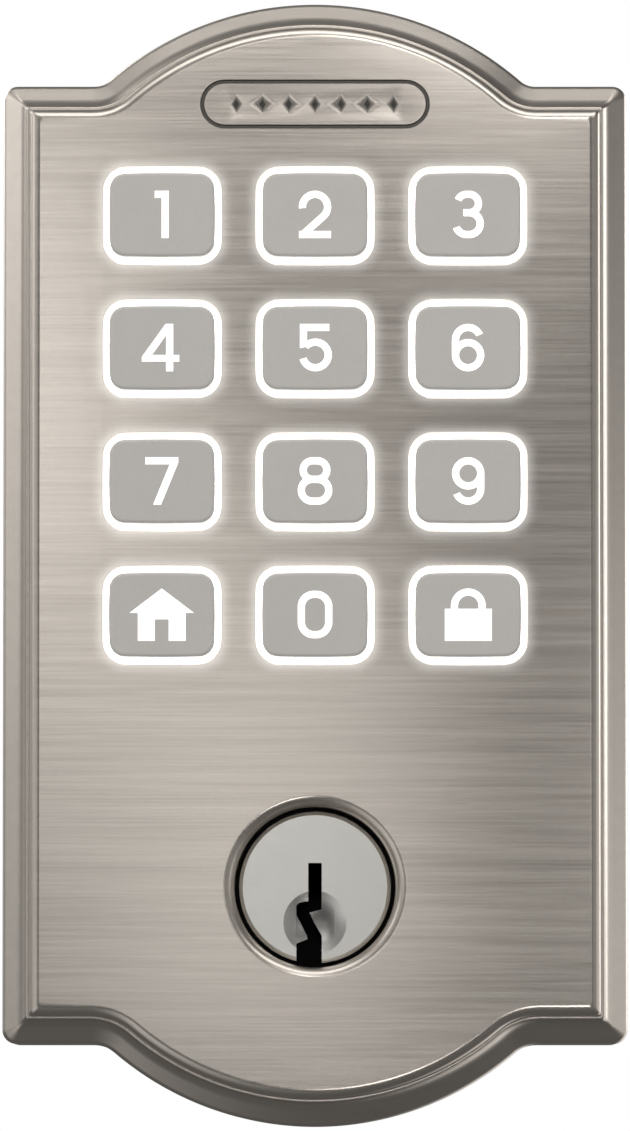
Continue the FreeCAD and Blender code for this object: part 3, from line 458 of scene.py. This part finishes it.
def keySkin():
    material, tree, shader = newMaterial("keySkin", Emission_Strength=keySkinLook["glow"],
                                         Emission_Color=(*keySkinLook["glowColour"], 1.0))
    fleck = speckle(tree, keySkinLook["flecksPerMetre"], 2.0, 0.6)
    soft = speckle(tree, keySkinLook["patchesPerMetre"])
    tone = maths(tree, "ADD", maths(tree, "MULTIPLY", fleck, 0.6), maths(tree, "MULTIPLY", soft, 0.4))
    link(tree, mottled(tree, tone, keySkinLook["colour"], keySkinLook["fleck"]), shader.inputs["Base Color"])
    base = keySkinLook["roughness"]
    rough = remap(tree, fleck, 0.3, 0.7, base - keySkinLook["smoother"], base + keySkinLook["rougher"])
    link(tree, rough, shader.inputs["Roughness"])
    link(tree, bump(tree, fleck, keySkinLook["fleckDepth"] * mm, 0.5), shader.inputs["Normal"])
    return material


plugLook = {
    "colour": (0.76, 0.75, 0.72), "roughness": 0.24, "dimpleRoughness": 0.2,
    "dimpleDrop": 4.28, "dimpleRadius": 3.85, "dimpleEdge": 0.1,
    "ringsPerMetre": 5200, "ringDepth": 0.002, "mistPerMetre": 420, "mistRoughness": 0.08,
    "keywayHalf": 2.35, "keywayTop": 3.4, "keywayFront": 3.0, "keywayDark": 3.5, "keywayEnd": 9.0,
}


def keywayShade(tree):  # painted shade: 1 inside the keyway and on the pins that stand in it
    x, y, z = axes(tree)
    near = maths(tree, "LESS_THAN", maths(tree, "ABSOLUTE", x), plugLook["keywayHalf"] * mm)
    low = maths(tree, "LESS_THAN", z, plugLook["keywayTop"] * mm)
    deep = byDepth(tree, y, plugLook["keywayFront"], plugLook["keywayDark"], 0.0, 1.0)
    before = maths(tree, "LESS_THAN", y, plugLook["keywayEnd"] * mm)
    return maths(tree, "MULTIPLY", maths(tree, "MULTIPLY", near, low), maths(tree, "MULTIPLY", deep, before))


def fromAxis(tree, z):  # distance from the line along Y at this height
    offset = place(tree, shift=(0.0, 0.0, -z * mm))
    return vectorMaths(tree, "LENGTH", vectorMaths(tree, "MULTIPLY", offset, (1, 0, 1)))


def plugNickel():
    material, tree, shader = newMaterial("plugNickel", Metallic=1.0)
    radius, edge = plugLook["dimpleRadius"], plugLook["dimpleEdge"]
    fromDimple = fromAxis(tree, -plugLook["dimpleDrop"])
    inDimple = remap(tree, fromDimple, (radius - edge) * mm, radius * mm, 1.0, 0.0)
    turning = tree.nodes.new("ShaderNodeTexNoise")  # faint rings left by the lathe
    turning.noise_dimensions = "1D"
    link(tree, fromAxis(tree, 0.0), turning.inputs["W"])
    turning.inputs["Scale"].default_value = plugLook["ringsPerMetre"]
    mist = speckle(tree, plugLook["mistPerMetre"], 3.0, 0.6)
    rings = maths(tree, "MULTIPLY", turning.outputs["Fac"], maths(tree, "SUBTRACT", 1.0, inDimple))
    tone = maths(tree, "ADD", maths(tree, "MULTIPLY", rings, 0.3), maths(tree, "MULTIPLY", mist, 0.5))
    tint = ramp(tree, tone, [(0.2, shade(plugLook["colour"], 0.96)), (0.6, shade(plugLook["colour"], 1.03))])
    # painted shade deep in the keyway
    link(tree, withPaintedShade(tree, tint, keywayShade(tree)), shader.inputs["Base Color"])
    rough = remap(tree, inDimple, 0.0, 1.0, plugLook["roughness"], plugLook["dimpleRoughness"])
    misty = maths(tree, "MULTIPLY", maths(tree, "SUBTRACT", mist, 0.5), plugLook["mistRoughness"])
    link(tree, maths(tree, "ADD", rough, misty), shader.inputs["Roughness"])
    link(tree, bump(tree, rings, plugLook["ringDepth"] * mm, 0.5), shader.inputs["Normal"])
    return material


wear = {"stainsPerMetre": 130, "dustPerMetre": 210}  # on the metals and plastics behind the face


def workedMetal(name, colour, roughness, grainSize, grainDepth, contrast, stretch=(1, 1, 1), shadeMask=None):
    # metal with its casting grain or tool marks
    material, tree, shader = newMaterial(name, Metallic=1.0)
    step = 1 / (grainSize * mm)
    grain = noise(tree, place(tree, tuple(step * s for s in stretch)), 3.0, 0.6)
    stain = speckle(tree, wear["stainsPerMetre"], 4.0, 0.6)
    tone = maths(tree, "ADD", maths(tree, "MULTIPLY", grain, 0.5), maths(tree, "MULTIPLY", stain, 0.5))
    tint = mottled(tree, tone, colour, contrast)
    # painted shade where the mask is 1
    if shadeMask:
        tint = withPaintedShade(tree, tint, shadeMask(tree))
    link(tree, tint, shader.inputs["Base Color"])
    link(tree, remap(tree, tone, 0.3, 0.7, roughness + 0.08, roughness - 0.06), shader.inputs["Roughness"])
    link(tree, bump(tree, grain, grainDepth * mm, 0.8), shader.inputs["Normal"])
    return material


collarLook = {"blackTo": -12.6, "brassFrom": -12.3}


def paintedGapShade(tree):  # painted shade: the cylinder's front collar and the pins in the keyway turn near black, so the gap round the plug stays dark
    y = axes(tree)[1]
    collar = remap(tree, y, collarLook["blackTo"] * mm, collarLook["brassFrom"] * mm, 1.0, 0.0)
    return maths(tree, "MAXIMUM", collar, keywayShade(tree))


def mouldedPlastic(name, colour, roughness, grainSize, grainDepth, contrast=0.15):
    material, tree, shader = newMaterial(name)
    grain = speckle(tree, 1 / (grainSize * mm))
    dust = speckle(tree, wear["dustPerMetre"], 5.0, 0.65)
    tone = maths(tree, "ADD", maths(tree, "MULTIPLY", grain, 0.4), maths(tree, "MULTIPLY", dust, 0.6))
    link(tree, mottled(tree, tone, colour, contrast), shader.inputs["Base Color"])
    link(tree, remap(tree, dust, 0.3, 0.7, roughness - 0.06, roughness + 0.1), shader.inputs["Roughness"])
    link(tree, bump(tree, grain, grainDepth * mm, 0.7), shader.inputs["Normal"])
    return material


boardLook = {"mask": (0.012, 0.075, 0.03), "track": (0.02, 0.12, 0.05), "trackDepth": 0.03,
             "cellsPerMetre": 520}


def circuitBoard():
    material, tree, shader = newMaterial("circuitBoard", Roughness=0.35, Coat_Weight=0.4, Coat_Roughness=0.2)
    coordinate = place(tree, (boardLook["cellsPerMetre"],) * 3)
    cells = tree.nodes.new("ShaderNodeTexVoronoi")
    cells.distance = "MANHATTAN"
    cells.inputs["Scale"].default_value = 1.0
    link(tree, coordinate, cells.inputs["Vector"])
    tracks = remap(tree, cells.outputs["Distance"], 0.36, 0.42, 0.0, 1.0)
    link(tree, ramp(tree, tracks, [(0.0, boardLook["mask"]), (1.0, boardLook["track"])]),
         shader.inputs["Base Color"])
    link(tree, bump(tree, tracks, boardLook["trackDepth"] * mm, 0.6), shader.inputs["Normal"])
    return material


satinNickel = brushedNickel()
finishes = {  # metals and plastics have a colour, roughness, grain size, grain depth and contrast
    "satin_nickel": satinNickel,
    "light_guide": glowingPlastic("lightFrame", glow["frame"]),
    "key_lens": glowingPlastic("keySign", glow["sign"]),
    "led": glowingPlastic("lamp", glow["sign"]),
    "key_skin": keySkin(),
    "plug_nickel": plugNickel(),
    "cast_zinc": workedMetal("castZinc", (0.36, 0.37, 0.385), 0.44, 0.35, 0.03, 0.16),
    "zinc_steel": workedMetal("zincPlatedSteel", (0.62, 0.62, 0.6), 0.3, 0.25, 0.008, 0.1, (1, 0.2, 1)),
    "spring_steel": workedMetal("springSteel", (0.52, 0.52, 0.52), 0.22, 0.15, 0.003, 0.08),
    "hard_steel": workedMetal("hardSteel", (0.3, 0.31, 0.33), 0.35, 0.2, 0.005, 0.1),
    "cylinder_brass": workedMetal("cylinderBrass", (0.72, 0.52, 0.24), 0.28, 0.3, 0.006, 0.14, (1, 0.25, 1),
                                  paintedGapShade),
    "contact_brass": workedMetal("contactBrass", (0.83, 0.62, 0.3), 0.22, 0.2, 0.003, 0.08),
    "mat_rubber": mouldedPlastic("matRubber", (0.55, 0.55, 0.54), 0.55, 0.3, 0.01),
    "gasket_rubber": mouldedPlastic("gasketRubber", (0.018, 0.018, 0.019), 0.7, 0.35, 0.05, 0.3),
    "black_plastic": mouldedPlastic("blackPlastic", (0.02, 0.02, 0.022), 0.45, 0.3, 0.02, 0.25),
    "socket_plastic": mouldedPlastic("socketPlastic", (0.78, 0.76, 0.7), 0.4, 0.4, 0.01, 0.05),
    "board": circuitBoard(),
}
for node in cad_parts.values():
    for entry in node.material_slots:
        entry.material = finishes[entry.material.name.split(".")[0]]
print("finishes made:", len(finishes))


# the escutcheon: swept border, pierced face, carved ornament, inner walls and bosses
escutcheonLook = {
    "rollWidth": 1.8, "rollEdge": 1.2, "rollSlope": 38.0, "rollFoot": 5.4,  # the rounded edge and its slope
    "coveWidth": 1.15, "coveSlope": 77.0,  # the hollow above them
    "lip": 0.2, "ledge": 0.12, "draft": 0.1, "edgeRound": 1.3,  # the step up to the face
    "openingRound": 0.14,
    "windowRadius": 9.79, "windowFlare": 1.4, "windowFlareDepth": 1.6,
    "sleeveWall": 2.3, "sleeveEnd": -12.0,
    "sideWall": 2.0, "pocketStep": -16.1, "pocketInset": 6.0, "pocketFloor": -19.5,
    "bossRoot": 0.4,  # how far a boss goes into the pocket's floor
    "arcSteps": 12, "lipSteps": 5, "crestSteps": 10, "openingSteps": 4,
    "brushSlant": 0.35, "brushPerMetre": 10,  # the brushing's direction where the surface turns backwards
}
bosses = (  # columns, heights, outer radius, hole radius, end, hole depth
    ((-24.0, 24.0), (92.205, 22.545), 2.3, 1.0, -14.0, 3.6),  # for the tray's screws
    ((-32.0, 32.0), (92.0, -12.8), 3.0, 1.5, -3.2, 6.5),  # for the back plate's screws
    ((-19.0, 19.0), (0.0,), 5.6, 4.0, -12.9, 4.6),  # seats of the threaded posts
)


def quarterTurn(steps):
    return [math.pi / 2 * i / steps for i in range(1, steps + 1)]


def borderProfile(look):  # (inset, depth behind the face) from the side wall up to the face
    slope, steep = math.radians(look["rollSlope"]), math.radians(look["coveSlope"])
    foot, edge, lip, crest = look["rollFoot"], look["rollEdge"], look["lip"], look["edgeRound"]
    steps = look["arcSteps"]
    points = [(0.0, foot)]
    for i in range(1, steps + 1):
        a = (math.pi / 2 - slope) * i / steps
        points.append((edge * (1 - math.cos(a)), foot - edge * math.sin(a)))
    slopeEnd = points[-1][1] - (look["rollWidth"] - points[-1][0]) * math.tan(slope)
    cove = look["coveWidth"] / (math.sin(steep) - math.sin(slope))
    for i in range(steps + 1):
        a = slope + (steep - slope) * i / steps
        inset = look["rollWidth"] + cove * (math.sin(a) - math.sin(slope))
        points.append((inset, slopeEnd - cove * (math.cos(slope) - math.cos(a))))
    lipInset, lipDepth = points[-1]
    for i in range(1, look["lipSteps"] + 1):
        a = steep * (1 - i / look["lipSteps"])
        inset = lipInset + lip * (math.sin(steep) - math.sin(a))
        points.append((inset, lipDepth - lip * (math.cos(a) - math.cos(steep))))
    points.append((points[-1][0] + look["ledge"], points[-1][1]))
    stepInset = points[-1][0] + look["draft"]
    points.append((stepInset, crest))
    for a in quarterTurn(look["crestSteps"]):
        points.append((stepInset + crest * (1 - math.cos(a)), crest * (1 - math.sin(a))))
    return points


def roundedOpening(bm, outlineAt, edge, floorY):  # loops from the face down to the floor, its edge eased
    face = plate["face"]
    loops = [addLoop(bm, outlineAt(edge, face))]
    for a in quarterTurn(escutcheonLook["openingSteps"]):
        loops.append(addLoop(bm, outlineAt(edge * (1 - math.sin(a)), face + edge * (1 - math.cos(a)))))
    loops.append(addLoop(bm, outlineAt(0.0, floorY)))
    skinAll(bm, loops)
    return loops[0], loops[-1]


def stadium(width, height, y, z, steps=14):
    radius = height / 2
    points = []
    for side in (1, -1):
        for i in range(steps + 1):
            a = math.pi * i / steps
            x = width / 2 - radius + radius * math.sin(a)
            points.append((side * x, y, z + side * radius * math.cos(a)))
    return points


def carveOrnament(bm):
    face, z, side, band = plate["face"], ornamentZ, ornament["grooveSide"], ornament["grooveWidth"]
    deep = face + ornament["grooveDepth"]
    loops = []
    for inset, y in ((0.0, face), (side, deep), (band - side, deep), (band, face)):
        width, height = ornament["width"] - 2 * inset, ornament["height"] - 2 * inset
        loops.append(addLoop(bm, stadium(width, height, y, z)))
    skinAll(bm, loops)
    diamonds = []
    halfX, halfZ = ornament["diamondWidth"] / 2, ornament["diamondHeight"] / 2
    for i in range(ornament["diamonds"]):
        x = (i - (ornament["diamonds"] - 1) / 2) * ornament["diamondPitch"]
        corners = ((x, z + halfZ), (x + halfX, z), (x, z - halfZ), (x - halfX, z))
        rim = addLoop(bm, [(cornerX, face, cornerZ) for cornerX, cornerZ in corners])
        point = addLoop(bm, [(x, deep, z)])[0]
        for a, b in zip(rim, rim[1:] + rim[:1]):
            bm.faces.new((a, b, point))
        diamonds.append(rim)
    fill(bm, loops[-1], *diamonds)
    return loops[0]


def makeEscutcheon():
    look = escutcheonLook
    face, rim = plate["face"], plate["rim"]
    bm = bmesh.new()
    border = [addLoop(bm, plateOutline(0.0, rim))]
    border += [addLoop(bm, plateOutline(inset, face + depth)) for inset, depth in borderProfile(look)]
    skinAll(bm, border)
    faceHoles, floorHoles = [], []
    for x, z in keyPlaces():
        top, floor = roundedOpening(
            bm, lambda grow, y: crownedOutline(keypad["frame"], keypad["fit"] + grow, y, x, z),
            look["openingRound"], look["pocketFloor"])
        faceHoles.append(top)
        floorHoles.append(floor)
    bore, flare = look["windowRadius"], look["windowFlare"]
    sleeve = bore + look["sleeveWall"]
    window = [addLoop(bm, circle(bore + flare, face))]
    for a in quarterTurn(look["crestSteps"]):
        depth = look["windowFlareDepth"] * (1 - math.cos(a))
        window.append(addLoop(bm, circle(bore + flare * (1 - math.sin(a)), face + depth)))
    window += [addLoop(bm, circle(radius, y)) for radius, y in (
        (bore, look["sleeveEnd"]), (sleeve, look["sleeveEnd"]), (sleeve, look["pocketFloor"]))]
    skinAll(bm, window)
    fill(bm, border[-1], carveOrnament(bm), window[0], *faceHoles)
    inner = [border[0]] + [addLoop(bm, plateOutline(inset, y)) for inset, y in (
        (look["sideWall"], rim), (look["sideWall"], look["pocketStep"]),
        (look["pocketInset"], look["pocketStep"]), (look["pocketInset"], look["pocketFloor"]))]
    skinAll(bm, inner)
    fill(bm, inner[-1], window[-1], *floorHoles)
    root = look["pocketFloor"] - look["bossRoot"]
    for columns, heights, outer, hole, end, depth in bosses:
        for x in columns:
            for z in heights:
                lathe(bm, [(outer, root), (outer, end), (hole, end), (hole, end - depth)], x, z)
    brush = bm.loops.layers.uv.new("brush")
    slant, perMetre = look["brushSlant"], look["brushPerMetre"]
    for polygon in bm.faces:
        for corner in polygon.loops:
            x, y, z = corner.vert.co
            corner[brush].uv = ((x + slant * y) * perMetre, (z + slant * y) * perMetre)
    return finished("escutcheonShell", bm, satinNickel, 28.0)


escutcheon = makeEscutcheon()
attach(escutcheon, "lock_body")
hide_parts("escutcheon")
print("escutcheon made:", len(escutcheon.data.polygons), "faces")


# pieces that repeat: one is made, and its nodes set out the rest
def newTree(name, inputs):
    tree = bpy.data.node_groups.new(name, "GeometryNodeTree")
    for label, kind in [("Geometry", "Geometry")] + inputs + [("Material", "Material")]:
        tree.interface.new_socket(name=label, in_out="INPUT", socket_type="NodeSocket" + kind)
    tree.interface.new_socket(name="Geometry", in_out="OUTPUT", socket_type="NodeSocketGeometry")
    given = tree.nodes.new("NodeGroupInput").outputs
    return tree, given


def endTree(tree, geometry, material):
    realize = tree.nodes.new("GeometryNodeRealizeInstances")
    paint = tree.nodes.new("GeometryNodeSetMaterial")
    output = tree.nodes.new("NodeGroupOutput")
    tree.links.new(geometry, realize.inputs[0])
    tree.links.new(realize.outputs[0], paint.inputs["Geometry"])
    tree.links.new(material, paint.inputs["Material"])
    tree.links.new(paint.outputs[0], output.inputs[0])
    return tree


def makeRepeatTree():
    tree, given = newTree("rowsAndColumns", [("Columns", "Int"), ("Rows", "Int"), ("Centre", "Vector"),
                                             ("Column Step", "Vector"), ("Row Step", "Vector")])
    index = tree.nodes.new("GeometryNodeInputIndex").outputs[0]
    column = maths(tree, "MODULO", index, given["Columns"])
    row = maths(tree, "FLOOR", maths(tree, "DIVIDE", index, given["Columns"]))
    where = given["Centre"]
    for number, count, step in ((column, "Columns", "Column Step"), (row, "Rows", "Row Step")):
        middle = maths(tree, "MULTIPLY", maths(tree, "SUBTRACT", given[count], 1.0), 0.5)
        offset = vectorMaths(tree, "MULTIPLY", given[step], maths(tree, "SUBTRACT", number, middle))
        where = vectorMaths(tree, "ADD", where, offset)
    points = tree.nodes.new("GeometryNodePoints")
    link(tree, maths(tree, "MULTIPLY", given["Columns"], given["Rows"]), points.inputs["Count"])
    link(tree, where, points.inputs["Position"])
    instances = tree.nodes.new("GeometryNodeInstanceOnPoints")
    tree.links.new(points.outputs[0], instances.inputs["Points"])
    tree.links.new(given["Geometry"], instances.inputs["Instance"])
    return endTree(tree, instances.outputs[0], given["Material"])


def makeCoilTree():
    tree, given = newTree("coil", [("Turns", "Float"), ("Height", "Float"), ("Coil Radius", "Float"),
                                   ("Wire Radius", "Float"), ("Steps", "Int"), ("Sides", "Int")])
    spiral = tree.nodes.new("GeometryNodeCurveSpiral")
    for label, key in (("Resolution", "Steps"), ("Rotations", "Turns"), ("Start Radius", "Coil Radius"),
                       ("End Radius", "Coil Radius"), ("Height", "Height")):
        tree.links.new(given[key], spiral.inputs[label])
    section = tree.nodes.new("GeometryNodeCurvePrimitiveCircle")
    tree.links.new(given["Sides"], section.inputs["Resolution"])
    tree.links.new(given["Wire Radius"], section.inputs["Radius"])
    sweep = tree.nodes.new("GeometryNodeCurveToMesh")
    sweep.inputs["Fill Caps"].default_value = True
    tree.links.new(spiral.outputs[0], sweep.inputs["Curve"])
    tree.links.new(section.outputs[0], sweep.inputs["Profile Curve"])
    return endTree(tree, sweep.outputs[0], given["Material"])


repeatTree, coilTree = makeRepeatTree(), makeCoilTree()


def useTree(piece, tree, values):
    modifier = piece.modifiers.new(tree.name, "NODES")
    modifier.node_group = tree
    for socket in tree.interface.items_tree:
        if socket.in_out == "INPUT" and socket.name in values:
            modifier[socket.identifier] = values[socket.name]


def repeated(piece, material, columns, rows, centre, columnStep, rowStep):
    useTree(piece, repeatTree, {
        "Columns": columns, "Rows": rows, "Centre": tuple(c * mm for c in centre),
        "Column Step": tuple(c * mm for c in columnStep), "Row Step": tuple(c * mm for c in rowStep),
        "Material": material})
    return bake(piece)


def fit(piece, body, slotName, *nodes):
    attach(piece, body)
    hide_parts(*nodes)
    return piece


guideLook = {
    "edgeRound": 0.16, "edgeSteps": 5, "back": -18.1,
    "web": -19.5, "webMargin": 2.2, "webCorner": 2.8, "webCrown": 4e3,
    "webOverlap": 0.3,  # how far the web runs in under the frames
}


def makeLightGuide():
    look, face = guideLook, plate["face"]
    bm = bmesh.new()
    path = [("frame", 0.0, look["back"])]
    for a in [0.0] + quarterTurn(look["edgeSteps"]):
        inwards, depth = look["edgeRound"] * (1 - math.cos(a)), look["edgeRound"] * (1 - math.sin(a))
        path.append(("frame", -inwards, face + depth))
    path += [("key", keypad["gap"] - out, y) for _, out, y in path[::-1]]
    loops = [addLoop(bm, crownedOutline(keypad[shape], outset, y)) for shape, outset, y in path]
    skinAll(bm, loops + loops[:1])
    frames = finished("lightFrames", bm, finishes["light_guide"])
    middle = (keypad["rows"][0] + keypad["rows"][-1]) / 2
    repeated(frames, finishes["light_guide"], 3, 4, (0, 0, middle), (pitchX, 0, 0), (0, 0, -pitchZ))
    bm = bmesh.new()
    width = 2 * pitchX + keypad["frame"]["width"] + 2 * look["webMargin"]
    height = 3 * pitchZ + keypad["frame"]["height"] + 2 * look["webMargin"]
    sheet = {"width": width, "height": height, "corner": look["webCorner"],
             "sideCrown": look["webCrown"], "endCrown": look["webCrown"]}
    levels = []
    for y in (look["web"], look["back"]):
        rim = addLoop(bm, crownedOutline(sheet, 0.0, y, 0.0, middle))
        holes = [addLoop(bm, crownedOutline(keypad["frame"], -look["webOverlap"], y, x, z))
                 for x, z in keyPlaces()]
        fill(bm, rim, *holes)
        levels.append([rim] + holes)
    for first, second in zip(*levels):
        skin(bm, first, second)
    web = finished("lightWeb", bm, finishes["light_guide"])
    for piece in (frames, web):
        fit(piece, "lock_body", "light_guide", "light_guide")


makeLightGuide()
print("light guide made")


# springs over the driver pins
springLook = {"coilRadius": 1.15, "wireRadius": 0.18, "turns": 6.0, "low": 11.2, "high": 14.72,
              "middle": -1.08, "apart": 3.96, "count": 5, "stepsPerTurn": 24, "sides": 8}


def makeSprings():  # each spring stands between its driver pin and the spring cover
    look, steel = springLook, finishes["spring_steel"]
    height = (look["high"] - look["low"]) * mm
    for i in range(look["count"]):
        coil = finished("springCoil%d" % (i + 1), bmesh.new(), steel)
        useTree(coil, coilTree, {
            "Turns": look["turns"], "Height": height, "Coil Radius": look["coilRadius"] * mm,
            "Wire Radius": look["wireRadius"] * mm, "Steps": look["stepsPerTurn"],
            "Sides": look["sides"], "Material": steel})
        bake(coil)
        y = look["middle"] + (i - (look["count"] - 1) / 2) * look["apart"]
        start, end = (0, y * mm, look["low"] * mm), (0, y * mm, look["high"] * mm)
        coil.data.transform(Matrix.Translation(start))
        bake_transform(coil)
        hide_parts("pin_springs")


makeSprings()
print("springs made")


# light, floor and camera
studio = {  # in metres, and the sensor in millimetres
    "floorLevel": -0.35, "floorSize": 5.0, "floorColour": (0.86, 0.86, 0.85), "floorShade": 0.97,
    "floorGlow": 0.6, "floorPatchesPerMetre": 3,
    "distance": 1.0, "eyeLevel": -0.030, "aimHeight": 0.03935, "viewHeight": 0.1379, "shift": 0.16,
    "sensorWidth": 36.0, "nearest": 0.05, "farthest": 20.0,
}
studioLight = {  # glow of the studio's walls
    "everywhere": 0.124, "tint": (1.0, 0.985, 0.965),
    "lobeFull": 0.98,  # cosine where a lobe reaches its strength
    "lobes": [  # towards, cosine where the light starts, strength
        ((-0.64, -0.64, -0.42), 0.8, 0.55), ((0.68, 0.68, -0.26), 0.75, 0.8),
        ((-0.64, 0.64, 0.42), 0.8, 0.6), ((0.64, 0.64, -0.42), 0.8, 0.4),
        ((-0.75, -0.66, 0.1), 0.8, 0.22), ((0.75, -0.66, 0.0), 0.8, 0.2),
        ((0.0, -0.7, 0.7), 0.8, 0.3), ((-0.69, -0.24, 0.69), 0.9, 0.5)],
}


def makeFloor():
    bm = bmesh.new()
    bmesh.ops.create_grid(bm, x_segments=8, y_segments=8, size=studio["floorSize"])
    for vert in bm.verts:
        vert.co.z = studio["floorLevel"]
    colour = studio["floorColour"]
    material, tree, shader = newMaterial("paleFloor", Roughness=0.7, Emission_Color=(*colour, 1.0),
                                         Emission_Strength=studio["floorGlow"])
    patches = speckle(tree, studio["floorPatchesPerMetre"])
    tint = ramp(tree, patches, [(0.3, shade(colour, studio["floorShade"])), (0.7, colour)])
    link(tree, tint, shader.inputs["Base Color"])
    floor = finished("studioFloor", bm, material, weighted=False)
    floor.visible_glossy = floor.visible_diffuse = False  # the plate isn't lit or mirrored by it


def makeWorld():
    world = bpy.data.worlds.new("studio")
    world.use_nodes = True
    tree = world.node_tree
    tree.nodes.clear()
    coordinate = tree.nodes.new("ShaderNodeTexCoord")
    total = studioLight["everywhere"]
    for towards, start, strength in studioLight["lobes"]:
        middle = tuple(Vector(towards).normalized())
        facing = vectorMaths(tree, "DOT_PRODUCT", coordinate.outputs["Generated"], middle)
        lobe = remap(tree, facing, start, studioLight["lobeFull"], 0.0, strength, smooth=True)
        total = maths(tree, "ADD", total, lobe)
    around = tree.nodes.new("ShaderNodeBackground")
    around.inputs["Color"].default_value = (*studioLight["tint"], 1.0)
    link(tree, total, around.inputs["Strength"])
    white = tree.nodes.new("ShaderNodeBackground")
    white.inputs["Color"].default_value = (1, 1, 1, 1)
    seen = tree.nodes.new("ShaderNodeLightPath")
    mix = tree.nodes.new("ShaderNodeMixShader")
    tree.links.new(seen.outputs["Is Camera Ray"], mix.inputs[0])
    tree.links.new(around.outputs[0], mix.inputs[1])
    tree.links.new(white.outputs[0], mix.inputs[2])
    output = tree.nodes.new("ShaderNodeOutputWorld")
    tree.links.new(mix.outputs[0], output.inputs["Surface"])
    scene.world = world


def addLamp(name, at, aim, size, power):
    data = bpy.data.lights.new(name, "AREA")
    data.shape = "RECTANGLE"
    data.size, data.size_y = size
    data.energy = power
    data.color = studioLight["tint"]
    lamp = bpy.data.objects.new(name, data)
    scene.collection.objects.link(lamp)
    lamp.location = at
    lamp.rotation_mode = "QUATERNION"
    lamp.rotation_quaternion = (Vector(aim) - Vector(at)).to_track_quat("-Z", "Y")
    lamp.visible_camera = False


lamps = {  # place, aim, width and height in metres, power in watts
    "leftPanel": ((-0.06, -0.45, 0.11), (-0.06, 0.0, 0.11), (0.06, 0.08), 0.023),
    "leftLow": ((-0.06, -0.45, 0.035), (-0.06, 0.0, 0.035), (0.06, 0.08), 0.009),
    "middleHigh": ((-0.01, -0.45, 0.215), (-0.01, 0.0, 0.215), (0.06, 0.05), 0.026),
    "middleStrip": ((-0.01, -0.45, 0.03), (-0.01, 0.0, 0.03), (0.06, 0.10), 0.018),
    "rightHigh": ((0.04, -0.45, 0.19), (0.04, 0.0, 0.19), (0.06, 0.08), 0.026),
    "topPanel": ((0.04, -0.45, 0.30), (0.04, 0.0, 0.30), (0.06, 0.08), 0.084),
    "rightStrip": ((0.09, -0.45, 0.035), (0.09, 0.0, 0.035), (0.06, 0.08), 0.0137),
    "lowPanel": ((0.04, -0.45, -0.12), (0.04, 0.0, -0.12), (0.06, 0.08), 0.068),
    "hood": ((0.0, -0.2, 0.45), (0.0, 0.0, 0.04), (0.5, 0.15), 0.72),
    "leftWall": ((-0.5, -0.05, 0.04), (0.0, 0.0, 0.04), (0.3, 0.3), 0.055),
    "leftWallHigh": ((-0.5, -0.05, 0.24), (0.0, 0.0, 0.04), (0.3, 0.3), 0.36),
    "rightWall": ((0.5, -0.05, -0.06), (0.0, 0.0, 0.0), (0.3, 0.3), 0.2),
    "frontCorner": ((0.55, -0.6, 0.75), (0.0, 0.0, 0.04), (0.3, 0.3), 0.9),
    "backCorner": ((-0.6, 0.75, 0.45), (0.0, 0.0, 0.04), (0.5, 0.5), 3.0),
    "backSide": ((0.7, 0.6, 0.2), (0.0, 0.0, 0.04), (0.4, 0.4), 1.5),
}


def makeCamera():
    data = bpy.data.cameras.new("camera")
    camera = bpy.data.objects.new("camera", data)
    scene.collection.objects.link(camera)
    front = (plate["face"] + escutcheonLook["rollFoot"]) * mm
    data.sensor_width = studio["sensorWidth"]
    data.lens = studio["sensorWidth"] * studio["distance"] / studio["viewHeight"]
    data.shift_y = studio["shift"]
    data.clip_start, data.clip_end = studio["nearest"], studio["farthest"]
    camera.location = (0.0, front - studio["distance"], studio["eyeLevel"])
    aim = Vector((0.0, front, studio["aimHeight"] - studio["shift"] * studio["viewHeight"]))
    camera.rotation_mode = "QUATERNION"
    camera.rotation_quaternion = (aim - camera.location).to_track_quat("-Z", "Y")
    scene.camera = camera


makeFloor()
makeWorld()
for name, (at, aim, size, power) in lamps.items():
    addLamp(name, at, aim, size, power)
makeCamera()
scene.view_settings.view_transform = "Standard"
print("studio made:", len(lamps), "lamps")
